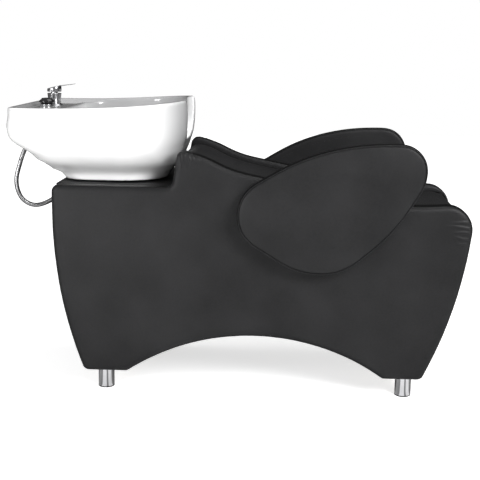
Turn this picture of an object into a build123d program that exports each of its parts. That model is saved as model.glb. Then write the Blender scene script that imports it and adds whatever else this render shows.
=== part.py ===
from build123d import *
import math
import os

# Hair washing bed: a padded body on four short feet, with a tilting basin on its rear shelf.
# X runs along the length, from the basin to the seat front. Y runs across and Z up.
# The origin is on the floor below the centre of the whole object's box. Lengths are in millimetres.

# Body outline, seen from the side: where its straight sides would meet
floor_gap = 65.0
rear_x = -568.5
rear_foot_x = -475.5
rear_bend_height = 322.0
shelf_height = 646.0
step_foot_x = -202.5
step_top_x = -187.5
step_top_rise = 114.0
neck_bend_x = -114.5
neck_bend_rise = 99.0
back_bend_x = -22.5
back_bend_rise = 53.0
seat_bend_x = 479.5
seat_bend_drop = 47.0
nose_x = 709.5
nose_drop = 29.5
front_bend_x = 675.5
front_bend_height = 304.0
front_foot_x = 570.5
arch_rear_x = -339.5
arch_front_x = 449.5
arch_height = 189.0
foot_corner_radius = 18.0
shelf_corner_radius = 20.0
step_foot_radius = 18.0
step_top_radius = 24.0
nose_radius = 76.0
rear_bend_share = 0.86
neck_bend_share = 0.6
back_bend_share = 0.48
seat_bend_share = 0.48
front_bend_share = 0.8

# Body across
body_half_width = 262.0
side_inner_half = 205.0
side_board_thickness = 18.0
side_board_inset = 10.0
side_board_drop = 32.0
panel_edge_radius = 14.0

# Padding and boards between the sides
board_thickness = 15.0
shelf_board_thickness = 18.0
bottom_board_thickness = 40.0
shelf_pad_thickness = 8.0
pad_window_clearance = 1.25
cushion_drop = 14.0
cushion_thickness = 50.0
cushion_crown = 4.0
cushion_head_radius = 16.0
cushion_neck_share = 0.5
cushion_edge_draw = 10.0
cushion_gap = 0.3
cushion_nose_end_drop = 146.0
cushion_shoulder_share = 0.78
cushion_shoulder_draw = 1.5
apron_setback = 16.0
apron_thickness = 30.0
rear_cover_thickness = 16.0
rear_cover_setback = 4.0
rail_depth = 30.0
rail_height = 45.0
service_way_x = -410.0
service_way_length = 80.0
service_way_y = 30.0
service_way_width = 150.0
service_way_corner = 12.0

# Feet
leg_x_rear = -413.5
leg_x_front = 520.5
leg_y = 203.0
leg_radius = 25.0
leg_wall = 2.0
leg_plate_thickness = 3.0
leg_plate_length = 76.0
leg_plate_inner_y = 150.0
leg_plate_outer_y = 232.0
leg_screw_half_pitch = 31.0
leg_screw_rows_y = (162.0, 194.0)
leg_screw_radius = 2.5
leg_screw_depth = 14.0
leg_screw_head_radius = 4.5
leg_screw_head_height = 2.5
glide_height = 4.0
glide_plug_height = 14.0
fit_clearance = 0.1

# Arm pads: a leaf shape that is rounder at its lower rear end
arm_left_x = -3.5
arm_bottom_drop = 245.0
arm_length = 555.0
arm_height = 392.0
arm_thickness = 56.0
arm_gap = 0.4
arm_outline_shares = (
    (0.0, 0.283), (0.328, 0.0), (0.566, 0.0), (0.845, 0.342), (1.0, 0.717),
    (1.0, 1.0), (0.654, 1.0), (0.333, 0.885), (0.0, 0.6),
)
arm_trim_shares = (0.485, 0.49, 0.49, 0.54, 0.30, 0.70, 0.48, 0.50, 0.50)
arm_section_shares = (
    (0.0, 0.978), (0.06, 0.992), (0.2, 1.0), (0.75, 1.0), (0.9, 0.994), (0.97, 0.98), (1.0, 0.955),
)
arm_board_thickness = 15.0
arm_board_share = 0.86
arm_bolt_shares = ((0.25, 0.385), (0.663, 0.316), (0.456, 0.171))
arm_bolt_radius = 4.0
arm_bolt_head_radius = 8.0
arm_bolt_head_height = 5.0
arm_bolt_bite = 12.0
arm_spacer_radius = 10.0

# Basin outside
basin_rear_x = -698.5
basin_length = 530.0
basin_width = 580.0
basin_rest_gap = 4.0
basin_wall_height = 227.0
basin_skin = 13.0
basin_section_shares = (
    (0.0, 0.262, 0.868, 0.613, 0.27, 0.47),
    (0.07, 0.270, 0.862, 0.600, 0.25, 0.46),
    (0.165, 0.250, 0.888, 0.680, 0.26, 0.50),
    (0.29, 0.184, 0.930, 0.840, 0.23, 0.55),
    (0.45, 0.086, 0.970, 0.955, 0.19, 0.585),
    (0.62, 0.006, 0.992, 0.990, 0.165, 0.59),
    (0.8, 0.001, 0.999, 0.998, 0.155, 0.59),
    (0.97, 0.006, 1.0, 1.0, 0.155, 0.59),
    (1.15, 0.016, 0.994, 0.996, 0.155, 0.58),
)
rim_rear_rise = -1.0
rim_mid_rise = 3.0
rim_front_rise = 23.0
rim_bend_x = -425.5
rim_edge_radius = 5.0
foot_chamfer = 5.0

# Basin inside
bowl_rear_x = -553.5
bowl_length = 357.0
bowl_width = 532.0
bowl_floor_rise = 50.0
bowl_depth = 205.0
bowl_section_shares = (
    (0.0, 0.20, 0.74, 0.48, 0.22, 0.34),
    (0.06, 0.11, 0.82, 0.66, 0.27, 0.42),
    (0.24, 0.035, 0.93, 0.885, 0.30, 0.50),
    (0.5, 0.01, 0.985, 0.975, 0.30, 0.55),
    (1.0, 0.0, 1.0, 1.0, 0.30, 0.56),
)
deck_rise = 216.0
deck_border = 20.0
deck_side_step = 4.0
deck_front_x = -435.5
deck_corner_radius = 40.0
deck_thickness = 15.0
notch_top_half = 128.0
notch_bottom_half = 88.0
notch_floor_rise = 125.0
notch_floor_radius = 66.0
notch_start_x = -265.5
under_opening_half = 200.0
under_opening_front_x = -572.5
under_opening_rise = 122.0
under_void_front_x = -280.5
boss_radius = 12.0
boss_floor_gap = 3.0

# Waste
waste_x = -420.5
waste_hole_radius = 24.0
waste_flange_radius = 36.0
waste_flange_thickness = 3.0
waste_pipe_radius = 20.0
waste_pipe_wall = 2.0
waste_pipe_length = 105.0
waste_nut_radius = 33.0
waste_nut_height = 10.0
strainer_radius = 17.0
strainer_depth = 12.0
strainer_wall = 1.5
strainer_slot_count = 8
strainer_slot_width = 3.0
strainer_slot_height = 6.0
strainer_lip = 3.0
strainer_post_radius = 3.0
strainer_post_height = 16.0

# Tilt bracket
pin_x = -531.5
pin_rise = 14.0
pin_radius = 4.0
pin_clearance = 0.05
bracket_plate_thickness = 3.0
bracket_ear_thickness = 4.0
bracket_ear_radius = 9.0
bracket_ear_inner = 83.0
washer_thickness = 0.9
washer_gap = 0.05
washer_radius = 8.0
pin_inner_y = 80.0
pin_head_radius = 6.5
pin_head_thickness = 2.5
ear_foot_length = 30.0
ear_foot_lead = 11.0
lower_plate_rear_x = -545.5
lower_plate_front_x = -293.5
lower_plate_half = 112.0
upper_plate_rear_x = -497.5
upper_plate_front_x = -297.5
buffer_x = -311.5
buffer_y = 66.0
buffer_radius = 11.0
buffer_gap = 0.3
bracket_bolt_x = (-481.5, -331.5)
bracket_bolt_y = 50.0
bracket_bolt_radius = 4.0
bracket_bolt_depth = 9.0
bracket_bolt_head_radius = 7.0
bracket_bolt_head_height = 5.0
bracket_screw_x = (-505.5, -310.5)
bracket_screw_y = 102.0
waste_way_radius = 46.0
hose_way_x = -514.5
hose_way_length = 40.0
hose_way_width = 96.0

# Mixer
mixer_x = -623.5
mixer_y = 52.0
mixer_ring_radius = 26.0
mixer_ring_height = 5.0
mixer_body_radius = 20.5
mixer_body_rise = 37.5
mixer_shank_radius = 16.0
mixer_shank_drop = 38.0
mixer_nut_radius = 24.0
mixer_nut_height = 9.0
mixer_edge_radius = 1.5
cartridge_radius = 11.0
cartridge_top_rise = 50.0
cartridge_bottom_rise = 18.0
cartridge_clearance = 0.05
cap_radius = 23.0
cap_bottom_rise = 42.5
cap_rear_rise = 52.0
cap_front_rise = 64.0
cap_cheek_gap = 0.4
cap_pocket_length = 30.0
cap_pocket_height = 9.0
lever_pin_radius = 2.5
lever_pin_rise = 45.5
lever_pin_setback = 6.0
lever_pin_clearance = 0.05
lever_reach = 70.0
lever_width = 15.0
lever_thickness = 6.0
lever_tip_rise = 70.0
lever_tip_thickness = 3.0
lever_tip_radius = 3.0
handle_pin_half = 22.0

# Hand spray
spray_y = -52.0
collar_radius = 21.0
collar_height = 9.0
collar_bore_radius = 15.0
collar_sleeve_radius = 17.5
collar_sleeve_length = 31.0
spray_rest_gap = 0.05
spray_shoulder_radius = 16.5
collar_nut_radius = 24.0
collar_nut_height = 8.0
spray_grip_radius = 12.5
spray_grip_drop = 28.0
spray_head_radius = 25.0
spray_rim_rise = 18.0
spray_dome_rise = 27.0
spray_bell_lip = 2.0
spray_bell_depth = 3.0
nozzle_count = 12
nozzle_turn = 15.0
nozzle_ring_radius = 15.0
nozzle_radius = 1.3
nozzle_height = 1.2
hose_nut_radius = 9.5
hose_nut_height = 14.0

# Hoses. Each route is a list of points chosen by hand, with their heights above the shelf.
spray_hose_radius = 7.0
spray_riser_route = (
    (-623.5, -52.0, 178.0),
    (-623.5, -52.0, 144.0),
    (-642.4, -63.1, 118.0),
    (-671.2, -80.1, 112.1),
    (-690.1, -91.2, 86.1),
    (-699.5, -95.7, 54.0),
)
spray_hose_route = (
    (-699.53, -95.71, 53.9),
    (-707.4, -99.5, 27.0),
    (-715.5, -102.0, -5.0),
    (-712.5, -101.0, -42.0),
    (-697.5, -94.0, -76.0),
    (-663.5, -82.5, -95.0),
    (-626.5, -72.0, -85.5),
    (-597.5, -64.5, -66.0),
    (-533.5, -50.0, -39.0),
    (-488.5, -40.0, -38.0),
    (-451.5, -33.0, -76.0),
    (-451.5, -33.0, -116.0),
)
hose_trim_share = 0.45
grommet_radius = 16.0
grommet_flange = 4.0
grommet_flange_thickness = 3.0
grommet_clearance = 0.4
coupling_radius = 11.0
tail_radius = 6.0
tail_routes = {
    "supply_hose_cold": (
        (-615.5, 60.0, 182.0), (-615.5, 60.0, 129.0), (-585.5, 52.0, 81.0), (-532.5, 44.0, 44.0),
        (-515.5, 38.0, -16.0), (-497.5, 44.0, -126.0), (-485.5, 54.0, -246.0), (-473.5, 60.0, -366.0),
        (-430.0, 84.0, -451.0), (-430.0, 84.0, -496.0),
    ),
    "supply_hose_hot": (
        (-631.5, 60.0, 182.0), (-631.5, 60.0, 142.0), (-600.5, 28.0, 95.0), (-543.5, 14.0, 56.0),
        (-516.5, 8.0, -6.0), (-505.5, 16.0, -111.0), (-490.5, 26.0, -226.0), (-475.5, 30.0, -356.0),
        (-430.0, 50.0, -451.0), (-430.0, 50.0, -496.0),
    ),
    "mixer_outlet_tail": (
        (-623.5, 44.0, 182.0), (-623.5, 44.0, 140.0), (-595.5, 6.0, 92.0), (-540.5, -16.0, 52.0),
        (-516.5, -22.0, -10.0), (-532.5, -24.0, -81.0), (-535.5, -25.5, -141.0), (-535.5, -27.5, -191.0),
        (-510.9, -29.0, -215.6), (-476.1, -31.0, -215.6), (-451.5, -33.0, -191.0), (-451.5, -33.0, -154.0),
    ),
}
union_radius = 12.0
union_length = 24.0
union_bore_radius = 9.0
union_bore_depth = 14.0
drain_hose_bottom = 130.0
drain_end_length = 34.0
drain_cuff_radius = 25.0
drain_cuff_length = 40.0
drain_cuff_overlap = 25.0
drain_outer_radius = 23.0
drain_wall = 2.0
drain_rib_height = 2.0
drain_rib_pitch = 8.0

# Joining screws through the side boards
screw_radius = 3.0
screw_length = 50.0

# One overrun lets every cut pass its faces, and a sliver keeps parts of different bodies apart
overrun = 5.0

os.makedirs("parts", exist_ok=True)
SIDES = (("right", -1), ("left", 1))


def save(piece, label):
    """Label a finished piece and write it under its own name."""
    piece.part.label = label
    export_step(piece.part, "parts/" + label + ".step")


def side_plane(y):
    """Upright plane along the length, at a place y across. It faces -Y."""
    return Plane.XZ.offset(-y)


def corner_radius(before, corner, after, trim_share):
    """Radius of the arc that takes a share of the shorter side beside a corner."""
    first = Vector(*corner) - Vector(*before)
    second = Vector(*after) - Vector(*corner)
    half_turn = math.radians(first.get_angle(second)) / 2
    return trim_share * min(first.length, second.length) / math.tan(half_turn)


def loop_radii(corners, trim_shares):
    """Radii of a closed outline's arcs, one for each corner."""
    following = corners[1:] + corners[:1]
    before = corners[-1:] + corners[:-1]
    return [corner_radius(*places) for places in zip(before, corners, following, trim_shares)]


def line_radii(corners, trim_shares):
    """Radii of an open line's arcs, one for each inner corner."""
    return [corner_radius(*places) for places in zip(corners, corners[1:], corners[2:], trim_shares)]


def moved_in(corners, distance):
    """Corners of an open line moved to the right of its direction, square to its sides."""
    normals = []
    for start, end in zip(corners, corners[1:]):
        run = (Vector(*end) - Vector(*start)).normalized()
        normals.append(Vector(run.Y, -run.X))
    points = [Vector(*corners[0]) + normals[0] * distance]
    for corner, first, second in zip(corners[1:], normals, normals[1:]):
        points.append(Vector(*corner) + (first + second) * (distance / (1 + first.dot(second))))
    points.append(Vector(*corners[-1]) + normals[-1] * distance)
    return [(point.X, point.Y) for point in points]


def at_height(start, end, height):
    """Point on the line through two points, at a height."""
    share = (height - start[1]) / (end[1] - start[1])
    return (start[0] + (end[0] - start[0]) * share, height)


def at_length(start, end, x):
    """Point on the line through two points, at a place along X."""
    share = (x - start[0]) / (end[0] - start[0])
    return (x, start[1] + (end[1] - start[1]) * share)


def meeting(first_start, first_end, second_start, second_end):
    """Point where two lines meet."""
    run = Vector(*first_end) - Vector(*first_start)
    other = Vector(*second_end) - Vector(*second_start)
    gap = Vector(*second_start) - Vector(*first_start)
    share = (gap.X * other.Y - gap.Y * other.X) / (run.X * other.Y - run.Y * other.X)
    point = Vector(*first_start) + run * share
    return (point.X, point.Y)


def lifted(route):
    """A route with its heights taken from the floor instead of the shelf."""
    return [(x, y, shelf_height + height) for x, y, height in route]


def tube_line(route):
    """Straight runs joined by tangent arcs, each as large as its two runs allow."""
    trims = [hose_trim_share] * (len(route) - 2)
    radii = line_radii(route, trims)
    with BuildLine() as line:
        FilletPolyline(*route, radius=radii)
    return line.wires()[0], radii


# Heights that follow the shelf, and then the basin's foot and its deck
step_top_height = shelf_height + step_top_rise
nose_height = shelf_height - nose_drop
cushion_nose_end_height = shelf_height - cushion_nose_end_drop
arm_bottom_height = shelf_height - arm_bottom_drop
pin_height = shelf_height + pin_rise
basin_bottom = shelf_height + basin_rest_gap
bowl_floor_height = basin_bottom + bowl_floor_rise
notch_floor_height = basin_bottom + notch_floor_rise
deck_height = basin_bottom + deck_rise
mixer_body_top = deck_height + mixer_body_rise
cartridge_bottom = deck_height + cartridge_bottom_rise
cap_bottom = deck_height + cap_bottom_rise
cap_rear_top = deck_height + cap_rear_rise
cap_front_top = deck_height + cap_front_rise
lever_tip_height = deck_height + lever_tip_rise
spray_grip_bottom = deck_height - spray_grip_drop
spray_rim_height = deck_height + spray_rim_rise
spray_dome_height = deck_height + spray_dome_rise
hose_nut_bottom = spray_grip_bottom - hose_nut_height

# Corners of the body's outline, up the rear, along the top and down the front
rear_foot = (rear_foot_x, floor_gap)
rear_bend = (rear_x, rear_bend_height)
rear_shelf = (rear_x, shelf_height)
step_foot = (step_foot_x, shelf_height)
step_top = (step_top_x, step_top_height)
neck_bend = (neck_bend_x, shelf_height + neck_bend_rise)
back_bend = (back_bend_x, shelf_height + back_bend_rise)
seat_bend = (seat_bend_x, shelf_height - seat_bend_drop)
nose = (nose_x, nose_height)
front_bend = (front_bend_x, front_bend_height)
front_foot = (front_foot_x, floor_gap)
head_peak = meeting(step_foot, step_top, neck_bend, back_bend)
rear_line = (rear_foot, rear_bend, rear_shelf)
top_line = (step_foot, step_top, neck_bend, back_bend, seat_bend, nose, front_bend, front_foot)
under_line = (step_foot, head_peak, back_bend, seat_bend, nose, front_bend, front_foot)
front_line = (nose, front_bend, front_foot)
bends = {
    "rear": corner_radius(rear_foot, rear_bend, rear_shelf, rear_bend_share),
    "neck": corner_radius(step_top, neck_bend, back_bend, neck_bend_share),
    "back": corner_radius(neck_bend, back_bend, seat_bend, back_bend_share),
    "seat": corner_radius(back_bend, seat_bend, nose, seat_bend_share),
    "front": corner_radius(nose, front_bend, front_foot, front_bend_share),
}

# Upright boards at both sides, and the padded panels that cover their outer faces and edges
body_corners = (*rear_line, *top_line)
body_radii = (
    foot_corner_radius, bends["rear"], shelf_corner_radius, step_foot_radius, step_top_radius,
    bends["neck"], bends["back"], bends["seat"], nose_radius, bends["front"], foot_corner_radius,
)
arch_middle = ((arch_rear_x + arch_front_x) / 2, arch_height)
with BuildSketch() as body_outline:
    with BuildLine():
        FilletPolyline(*body_corners, radius=body_radii, close=True)
    make_face()
    with BuildLine():
        ThreePointArc((arch_rear_x, floor_gap), arch_middle, (arch_front_x, floor_gap))
        Line((arch_front_x, floor_gap), (arch_rear_x, floor_gap))
    make_face(mode=Mode.SUBTRACT)
board_drop_line = moved_in(top_line[:6], side_board_drop)
board_drop_corners = (
    (step_foot_x - overrun, board_drop_line[0][1]),
    *board_drop_line,
    (nose_x + overrun, board_drop_line[-1][1]),
    (nose_x + overrun, step_top_height + overrun),
    (step_foot_x - overrun, step_top_height + overrun),
)
with BuildSketch() as board_outline:
    add(body_outline.sketch)
    offset(amount=-side_board_inset, mode=Mode.REPLACE)
    with BuildLine():
        Polyline(*board_drop_corners, close=True)
    make_face(mode=Mode.SUBTRACT)

arm_y = body_half_width + arm_gap
panel_depth = body_half_width - side_inner_half
bolt_head_y = side_inner_half - arm_bolt_head_height
spacer_start_y = side_inner_half + side_board_thickness
bolt_end_y = arm_y + arm_bolt_bite
arm_bolt_spots = [
    Location((arm_left_x + arm_length * along, arm_bottom_height + arm_height * up))
    for along, up in arm_bolt_shares
]

# Places of the boards and rails between the sides, as outlines seen from the side
support_drop = cushion_drop + cushion_thickness
support_top = moved_in(under_line, support_drop)
support_bottom = moved_in(under_line, support_drop + board_thickness)
front_top = moved_in(front_line, apron_setback + apron_thickness)
front_bottom = moved_in(front_line, apron_setback + apron_thickness + board_thickness)
cover_face = moved_in(rear_line, rear_cover_setback)
cover_back = moved_in(rear_line, rear_cover_setback + rear_cover_thickness)
shelf_board_top = shelf_height - shelf_pad_thickness
shelf_board_bottom = shelf_board_top - shelf_board_thickness
bottom_board_top = floor_gap + bottom_board_thickness
apron_face = moved_in(front_line, apron_setback)
rail_end = at_height(support_bottom[4], support_bottom[5], cushion_nose_end_height)
rail_front_x = rail_end[0] - cushion_gap


def rail_outline(start_x, first, last):
    """Corners of a rail below a sloping board, whose top follows the board."""
    end_x = start_x + rail_depth
    start = at_length(first, last, start_x)
    end = at_length(first, last, end_x)
    return (start, end, (end_x, end[1] - rail_height), (start_x, start[1] - rail_height))


board_outlines = {
    "shelf_board": (
        (cover_back[2][0], shelf_board_top),
        (at_height(support_top[0], support_top[1], shelf_board_top)),
        (at_height(support_top[0], support_top[1], shelf_board_bottom)),
        (cover_back[2][0], shelf_board_bottom),
    ),
    "head_board": (
        at_height(support_top[0], support_top[1], shelf_board_bottom),
        support_top[1],
        support_bottom[1],
        at_height(support_bottom[0], support_bottom[1], shelf_board_bottom),
    ),
    "back_board": (support_top[1], support_top[2], support_bottom[2], support_bottom[1]),
    "seat_board": (support_top[2], support_top[3], support_bottom[3], support_bottom[2]),
    "front_seat_board": (support_top[3], support_top[4], support_bottom[4], support_bottom[3]),
    "front_rail": rail_outline(rail_front_x - rail_depth, support_bottom[3], support_bottom[4]),
    "rear_bottom_board": (
        at_height(cover_back[0], cover_back[1], floor_gap),
        at_height(cover_back[0], cover_back[1], bottom_board_top),
        (arch_rear_x, bottom_board_top),
        (arch_rear_x, floor_gap),
    ),
    "front_bottom_board": (
        (arch_front_x, floor_gap),
        (arch_front_x, bottom_board_top),
        at_height(apron_face[1], apron_face[2], bottom_board_top),
        at_height(apron_face[1], apron_face[2], floor_gap),
    ),
}


def middle(corners):
    """Middle of an outline's corners."""
    return (sum(x for x, z in corners) / len(corners), sum(z for x, z in corners) / len(corners))


screw_places = [middle(corners) for corners in board_outlines.values()]
screw_spots = [Location(place) for place in screw_places]
leg_screw_places = [
    (leg_x + offset_x, side * y)
    for leg_x in (leg_x_rear, leg_x_front)
    for offset_x in (-leg_screw_half_pitch, leg_screw_half_pitch)
    for side in (-1, 1)
    for y in leg_screw_rows_y
]
leg_screw_spots = [Location(place) for place in leg_screw_places]
bracket_screw_spots = [
    Location((x, side * bracket_screw_y)) for x in bracket_screw_x for side in (-1, 1)
]

# Side boards with holes for the joining screws and the arm bolts, and the padded side panels
for name, side in SIDES:
    with BuildPart() as side_board:
        with BuildSketch(side_plane(side * side_inner_half)):
            add(board_outline.sketch)
            with Locations(*arm_bolt_spots):
                Circle(arm_bolt_radius + fit_clearance, mode=Mode.SUBTRACT)
            with Locations(*screw_spots):
                Circle(screw_radius + fit_clearance, mode=Mode.SUBTRACT)
        extrude(amount=-side * side_board_thickness)
    save(side_board, "side_board_" + name)

    with BuildPart() as side_panel:
        with BuildSketch(side_plane(side * body_half_width)):
            add(body_outline.sketch)
        extrude(amount=side * panel_depth)
        outer_face = side_panel.faces().sort_by(Axis.Y)[-1 if side > 0 else 0]
        fillet(outer_face.edges(), radius=panel_edge_radius)
        with BuildSketch(side_plane(side * (side_inner_half - overrun))):
            add(board_outline.sketch)
        extrude(amount=-side * (side_board_thickness + overrun), mode=Mode.SUBTRACT)
        with BuildSketch(side_plane(side * (body_half_width + overrun))):
            with Locations(*arm_bolt_spots):
                Circle(arm_spacer_radius)
        extrude(amount=side * panel_depth, mode=Mode.SUBTRACT)
    save(side_panel, "side_panel_" + name)

# Flat boards and rails between the sides. The hoses' way down passes the rear bottom board.
for name, corners in board_outlines.items():
    with BuildPart() as board:
        with BuildSketch(side_plane(side_inner_half)):
            with BuildLine():
                Polyline(*corners, close=True)
            make_face()
        extrude(amount=side_inner_half * 2)
        for side in (-1, 1):
            with BuildSketch(side_plane(side * side_inner_half)):
                with Locations(middle(corners)):
                    Circle(screw_radius)
            extrude(amount=side * (screw_length - side_board_thickness), mode=Mode.SUBTRACT)
        if name == "shelf_board":
            with BuildSketch(Plane.XY.offset(shelf_board_bottom)):
                with Locations((waste_x, 0)):
                    Circle(waste_way_radius)
                with Locations((hose_way_x, 0)):
                    RectangleRounded(hose_way_length, hose_way_width, hose_way_length / 4)
            extrude(amount=shelf_board_thickness, mode=Mode.SUBTRACT)
            with BuildSketch(Plane.XY.offset(shelf_board_top - leg_screw_depth)):
                with Locations(*bracket_screw_spots):
                    Circle(leg_screw_radius)
            extrude(amount=leg_screw_depth, mode=Mode.SUBTRACT)
        if "bottom_board" in name:
            with BuildSketch(Plane.XY.offset(floor_gap)):
                with Locations(*leg_screw_spots):
                    Circle(leg_screw_radius)
            extrude(amount=leg_screw_depth, mode=Mode.SUBTRACT)
        if name == "rear_bottom_board":
            with BuildSketch(Plane.XY.offset(floor_gap)):
                with Locations((service_way_x, service_way_y)):
                    RectangleRounded(service_way_length, service_way_width, service_way_corner)
            extrude(amount=bottom_board_thickness, mode=Mode.SUBTRACT)
    save(board, name)

# Screws that join the side boards to the boards and rails
with BuildPart() as board_screws:
    for side in (-1, 1):
        with BuildSketch(side_plane(side * spacer_start_y)):
            with Locations(*screw_spots):
                Circle(screw_radius)
        extrude(amount=side * screw_length)
save(board_screws, "board_screws")

# Front board below the seat nose, with its padded apron
def front_band(face, back):
    """Lines that follow the front edge, from below the cushion down to the bottom board."""
    top = cushion_nose_end_height - cushion_gap
    foot = bottom_board_top + cushion_gap
    return [
        (at_height(line[0], line[1], top), line[1], at_height(line[1], line[2], foot))
        for line in (face, back)
    ]


def banded_piece(face, back, trim_share):
    """Padding or board between two bent lines, from side to side."""
    with BuildPart() as piece:
        with BuildSketch(side_plane(side_inner_half - cushion_gap)):
            with BuildLine():
                FilletPolyline(*face, radius=line_radii(face, [trim_share]))
                FilletPolyline(*back, radius=line_radii(back, [trim_share]))
                Line(face[0], back[0])
                Line(face[-1], back[-1])
            make_face()
        extrude(amount=(side_inner_half - cushion_gap) * 2)
    return piece


front_board = banded_piece(*front_band(front_top, front_bottom), front_bend_share)
save(front_board, "front_board")
front_apron = banded_piece(*front_band(apron_face, front_top), front_bend_share)
save(front_apron, "front_apron")

# Cushion from the head bump over the seat to the nose, crowned across and drawn in at its sides
cushion_stations = (
    (-1, cushion_edge_draw),
    (-cushion_shoulder_share, cushion_shoulder_draw),
    (0, -cushion_crown),
    (cushion_shoulder_share, cushion_shoulder_draw),
    (1, cushion_edge_draw),
)
cushion_foot_height = shelf_height + cushion_gap
cushion_under = (
    at_height(support_top[4], support_top[5], cushion_nose_end_height),
    *support_top[4:0:-1],
    at_height(support_top[0], support_top[1], cushion_foot_height),
)
with BuildPart() as center_cushion:
    for across_share, draw in cushion_stations:
        line = moved_in(top_line, cushion_drop + draw)
        face = (
            at_height(line[0], line[1], cushion_foot_height),
            *line[1:6],
            at_height(line[5], line[6], cushion_nose_end_height),
        )
        face_radii = (
            cushion_head_radius,
            corner_radius(*line[1:4], cushion_neck_share),
            corner_radius(*line[2:5], back_bend_share),
            corner_radius(*line[3:6], seat_bend_share),
            nose_radius - cushion_drop - draw,
        )
        with BuildSketch(side_plane(across_share * (side_inner_half - cushion_gap))):
            with BuildLine():
                FilletPolyline(*face, radius=face_radii)
                Polyline(face[-1], *cushion_under, face[0])
            make_face()
    loft()
save(center_cushion, "center_cushion")

# Thin pad on the shelf, open in the middle for the tilt bracket
pad_rear_x = cover_face[2][0]
pad_front_x = at_height(support_top[0], support_top[1], shelf_board_top)[0]
pad_length = pad_front_x - pad_rear_x
window_length = lower_plate_front_x - lower_plate_rear_x + pad_window_clearance * 2
window_x = (lower_plate_front_x + lower_plate_rear_x) / 2
with BuildPart() as shelf_pad:
    with BuildSketch(Plane.XY.offset(shelf_board_top)):
        with Locations((pad_rear_x + pad_length / 2, 0)):
            Rectangle(pad_length, (side_inner_half - cushion_gap) * 2)
        with Locations((window_x, 0)):
            Rectangle(window_length, (lower_plate_half + pad_window_clearance) * 2, mode=Mode.SUBTRACT)
    extrude(amount=shelf_pad_thickness)
    rear_edge = shelf_pad.edges().filter_by(Axis.Y).group_by(Axis.Z)[-1].sort_by(Axis.X)[0]
    fillet(rear_edge, radius=shelf_pad_thickness / 2)
save(shelf_pad, "shelf_pad")

# Rear cover, and the grommet through which the spray hose passes in line with its run
cover_top = shelf_board_top - cushion_gap
cover_outline = [
    (line[0], line[1], at_height(line[1], line[2], cover_top)) for line in (cover_face, cover_back)
]
loop_points = lifted(spray_hose_route)
run_start = Vector(*loop_points[7])
run = Vector(*loop_points[8]) - run_start
crossing_x = (cover_face[2][0] + cover_back[2][0]) / 2
crossing = run_start + run * ((crossing_x - run_start.X) / run.X)
grommet_place = (crossing.Y, crossing.Z)
with BuildPart() as rear_cover:
    add(banded_piece(*cover_outline, rear_bend_share).part)
    with BuildSketch(Plane.YZ.offset(rear_x - overrun)):
        with Locations(grommet_place):
            Circle(grommet_radius)
    extrude(amount=rear_cover_setback + rear_cover_thickness + overrun * 2, mode=Mode.SUBTRACT)
save(rear_cover, "rear_cover")

with BuildPart() as hose_grommet:
    with BuildSketch(Plane.YZ.offset(cover_face[2][0] - grommet_flange_thickness)):
        with Locations(grommet_place):
            Circle(grommet_radius + grommet_flange)
    extrude(amount=grommet_flange_thickness)
    with BuildSketch(Plane.YZ.offset(cover_face[2][0])):
        with Locations(grommet_place):
            Circle(grommet_radius)
    extrude(amount=rear_cover_thickness)
    with BuildSketch(Plane(origin=crossing, z_dir=run)):
        Circle(spray_hose_radius + grommet_clearance)
    extrude(amount=rear_cover_thickness + overrun, both=True, mode=Mode.SUBTRACT)
save(hose_grommet, "hose_grommet")

# Feet: a chrome tube with its fixing plate, and a dark glide pressed into its lower end
leg_top = floor_gap - leg_plate_thickness
plate_width = leg_plate_outer_y - leg_plate_inner_y
for place, leg_x in (("rear", leg_x_rear), ("front", leg_x_front)):
    for name, side in SIDES:
        with BuildPart() as leg:
            with BuildSketch(Plane.XY.offset(glide_height)):
                with Locations((leg_x, side * leg_y)):
                    Circle(leg_radius)
                    Circle(leg_radius - leg_wall, mode=Mode.SUBTRACT)
            extrude(amount=leg_top - glide_height)
            with BuildSketch(Plane.XY.offset(leg_top)):
                with Locations((leg_x, side * (leg_plate_inner_y + plate_width / 2))):
                    RectangleRounded(leg_plate_length, plate_width, leg_screw_head_radius)
                with Locations(*leg_screw_spots):
                    Circle(leg_screw_radius + fit_clearance, mode=Mode.SUBTRACT)
            extrude(amount=leg_plate_thickness)
        save(leg, "leg_" + place + "_" + name)

leg_spots = [Location((x, side * leg_y)) for x in (leg_x_rear, leg_x_front) for side in (-1, 1)]
with BuildPart() as leg_glides:
    with BuildSketch():
        with Locations(*leg_spots):
            Circle(leg_radius)
    extrude(amount=glide_height)
    chamfer(leg_glides.edges().group_by(Axis.Z)[0], glide_height / 4)
    with BuildSketch(Plane.XY.offset(glide_height)):
        with Locations(*leg_spots):
            Circle(leg_radius - leg_wall - fit_clearance)
    extrude(amount=glide_plug_height)
save(leg_glides, "leg_glides")

with BuildPart() as leg_screws:
    with BuildSketch(Plane.XY.offset(leg_top - leg_screw_head_height)):
        with Locations(*leg_screw_spots):
            Circle(leg_screw_head_radius)
    extrude(amount=leg_screw_head_height)
    with BuildSketch(Plane.XY.offset(leg_top)):
        with Locations(*leg_screw_spots):
            Circle(leg_screw_radius)
    extrude(amount=leg_plate_thickness + leg_screw_depth)
save(leg_screws, "leg_screws")


# Arm pads, each with a board inside, spacers through the side padding, and bolts
def leaf_outline(share):
    """Corners and radii of the leaf, drawn in about its middle to a share of its size."""
    inset = (1 - share) / 2
    corners = tuple(
        (
            arm_left_x + arm_length * (inset + share * across),
            arm_bottom_height + arm_height * (inset + share * up),
        )
        for across, up in arm_outline_shares
    )
    return corners, loop_radii(corners, arm_trim_shares)


def leaf_sketch(plane, share):
    """Face of the leaf on an upright plane."""
    corners, radii = leaf_outline(share)
    with BuildSketch(plane) as leaf:
        with BuildLine():
            FilletPolyline(*corners, radius=radii, close=True)
        make_face()
    return leaf.sketch


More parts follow.
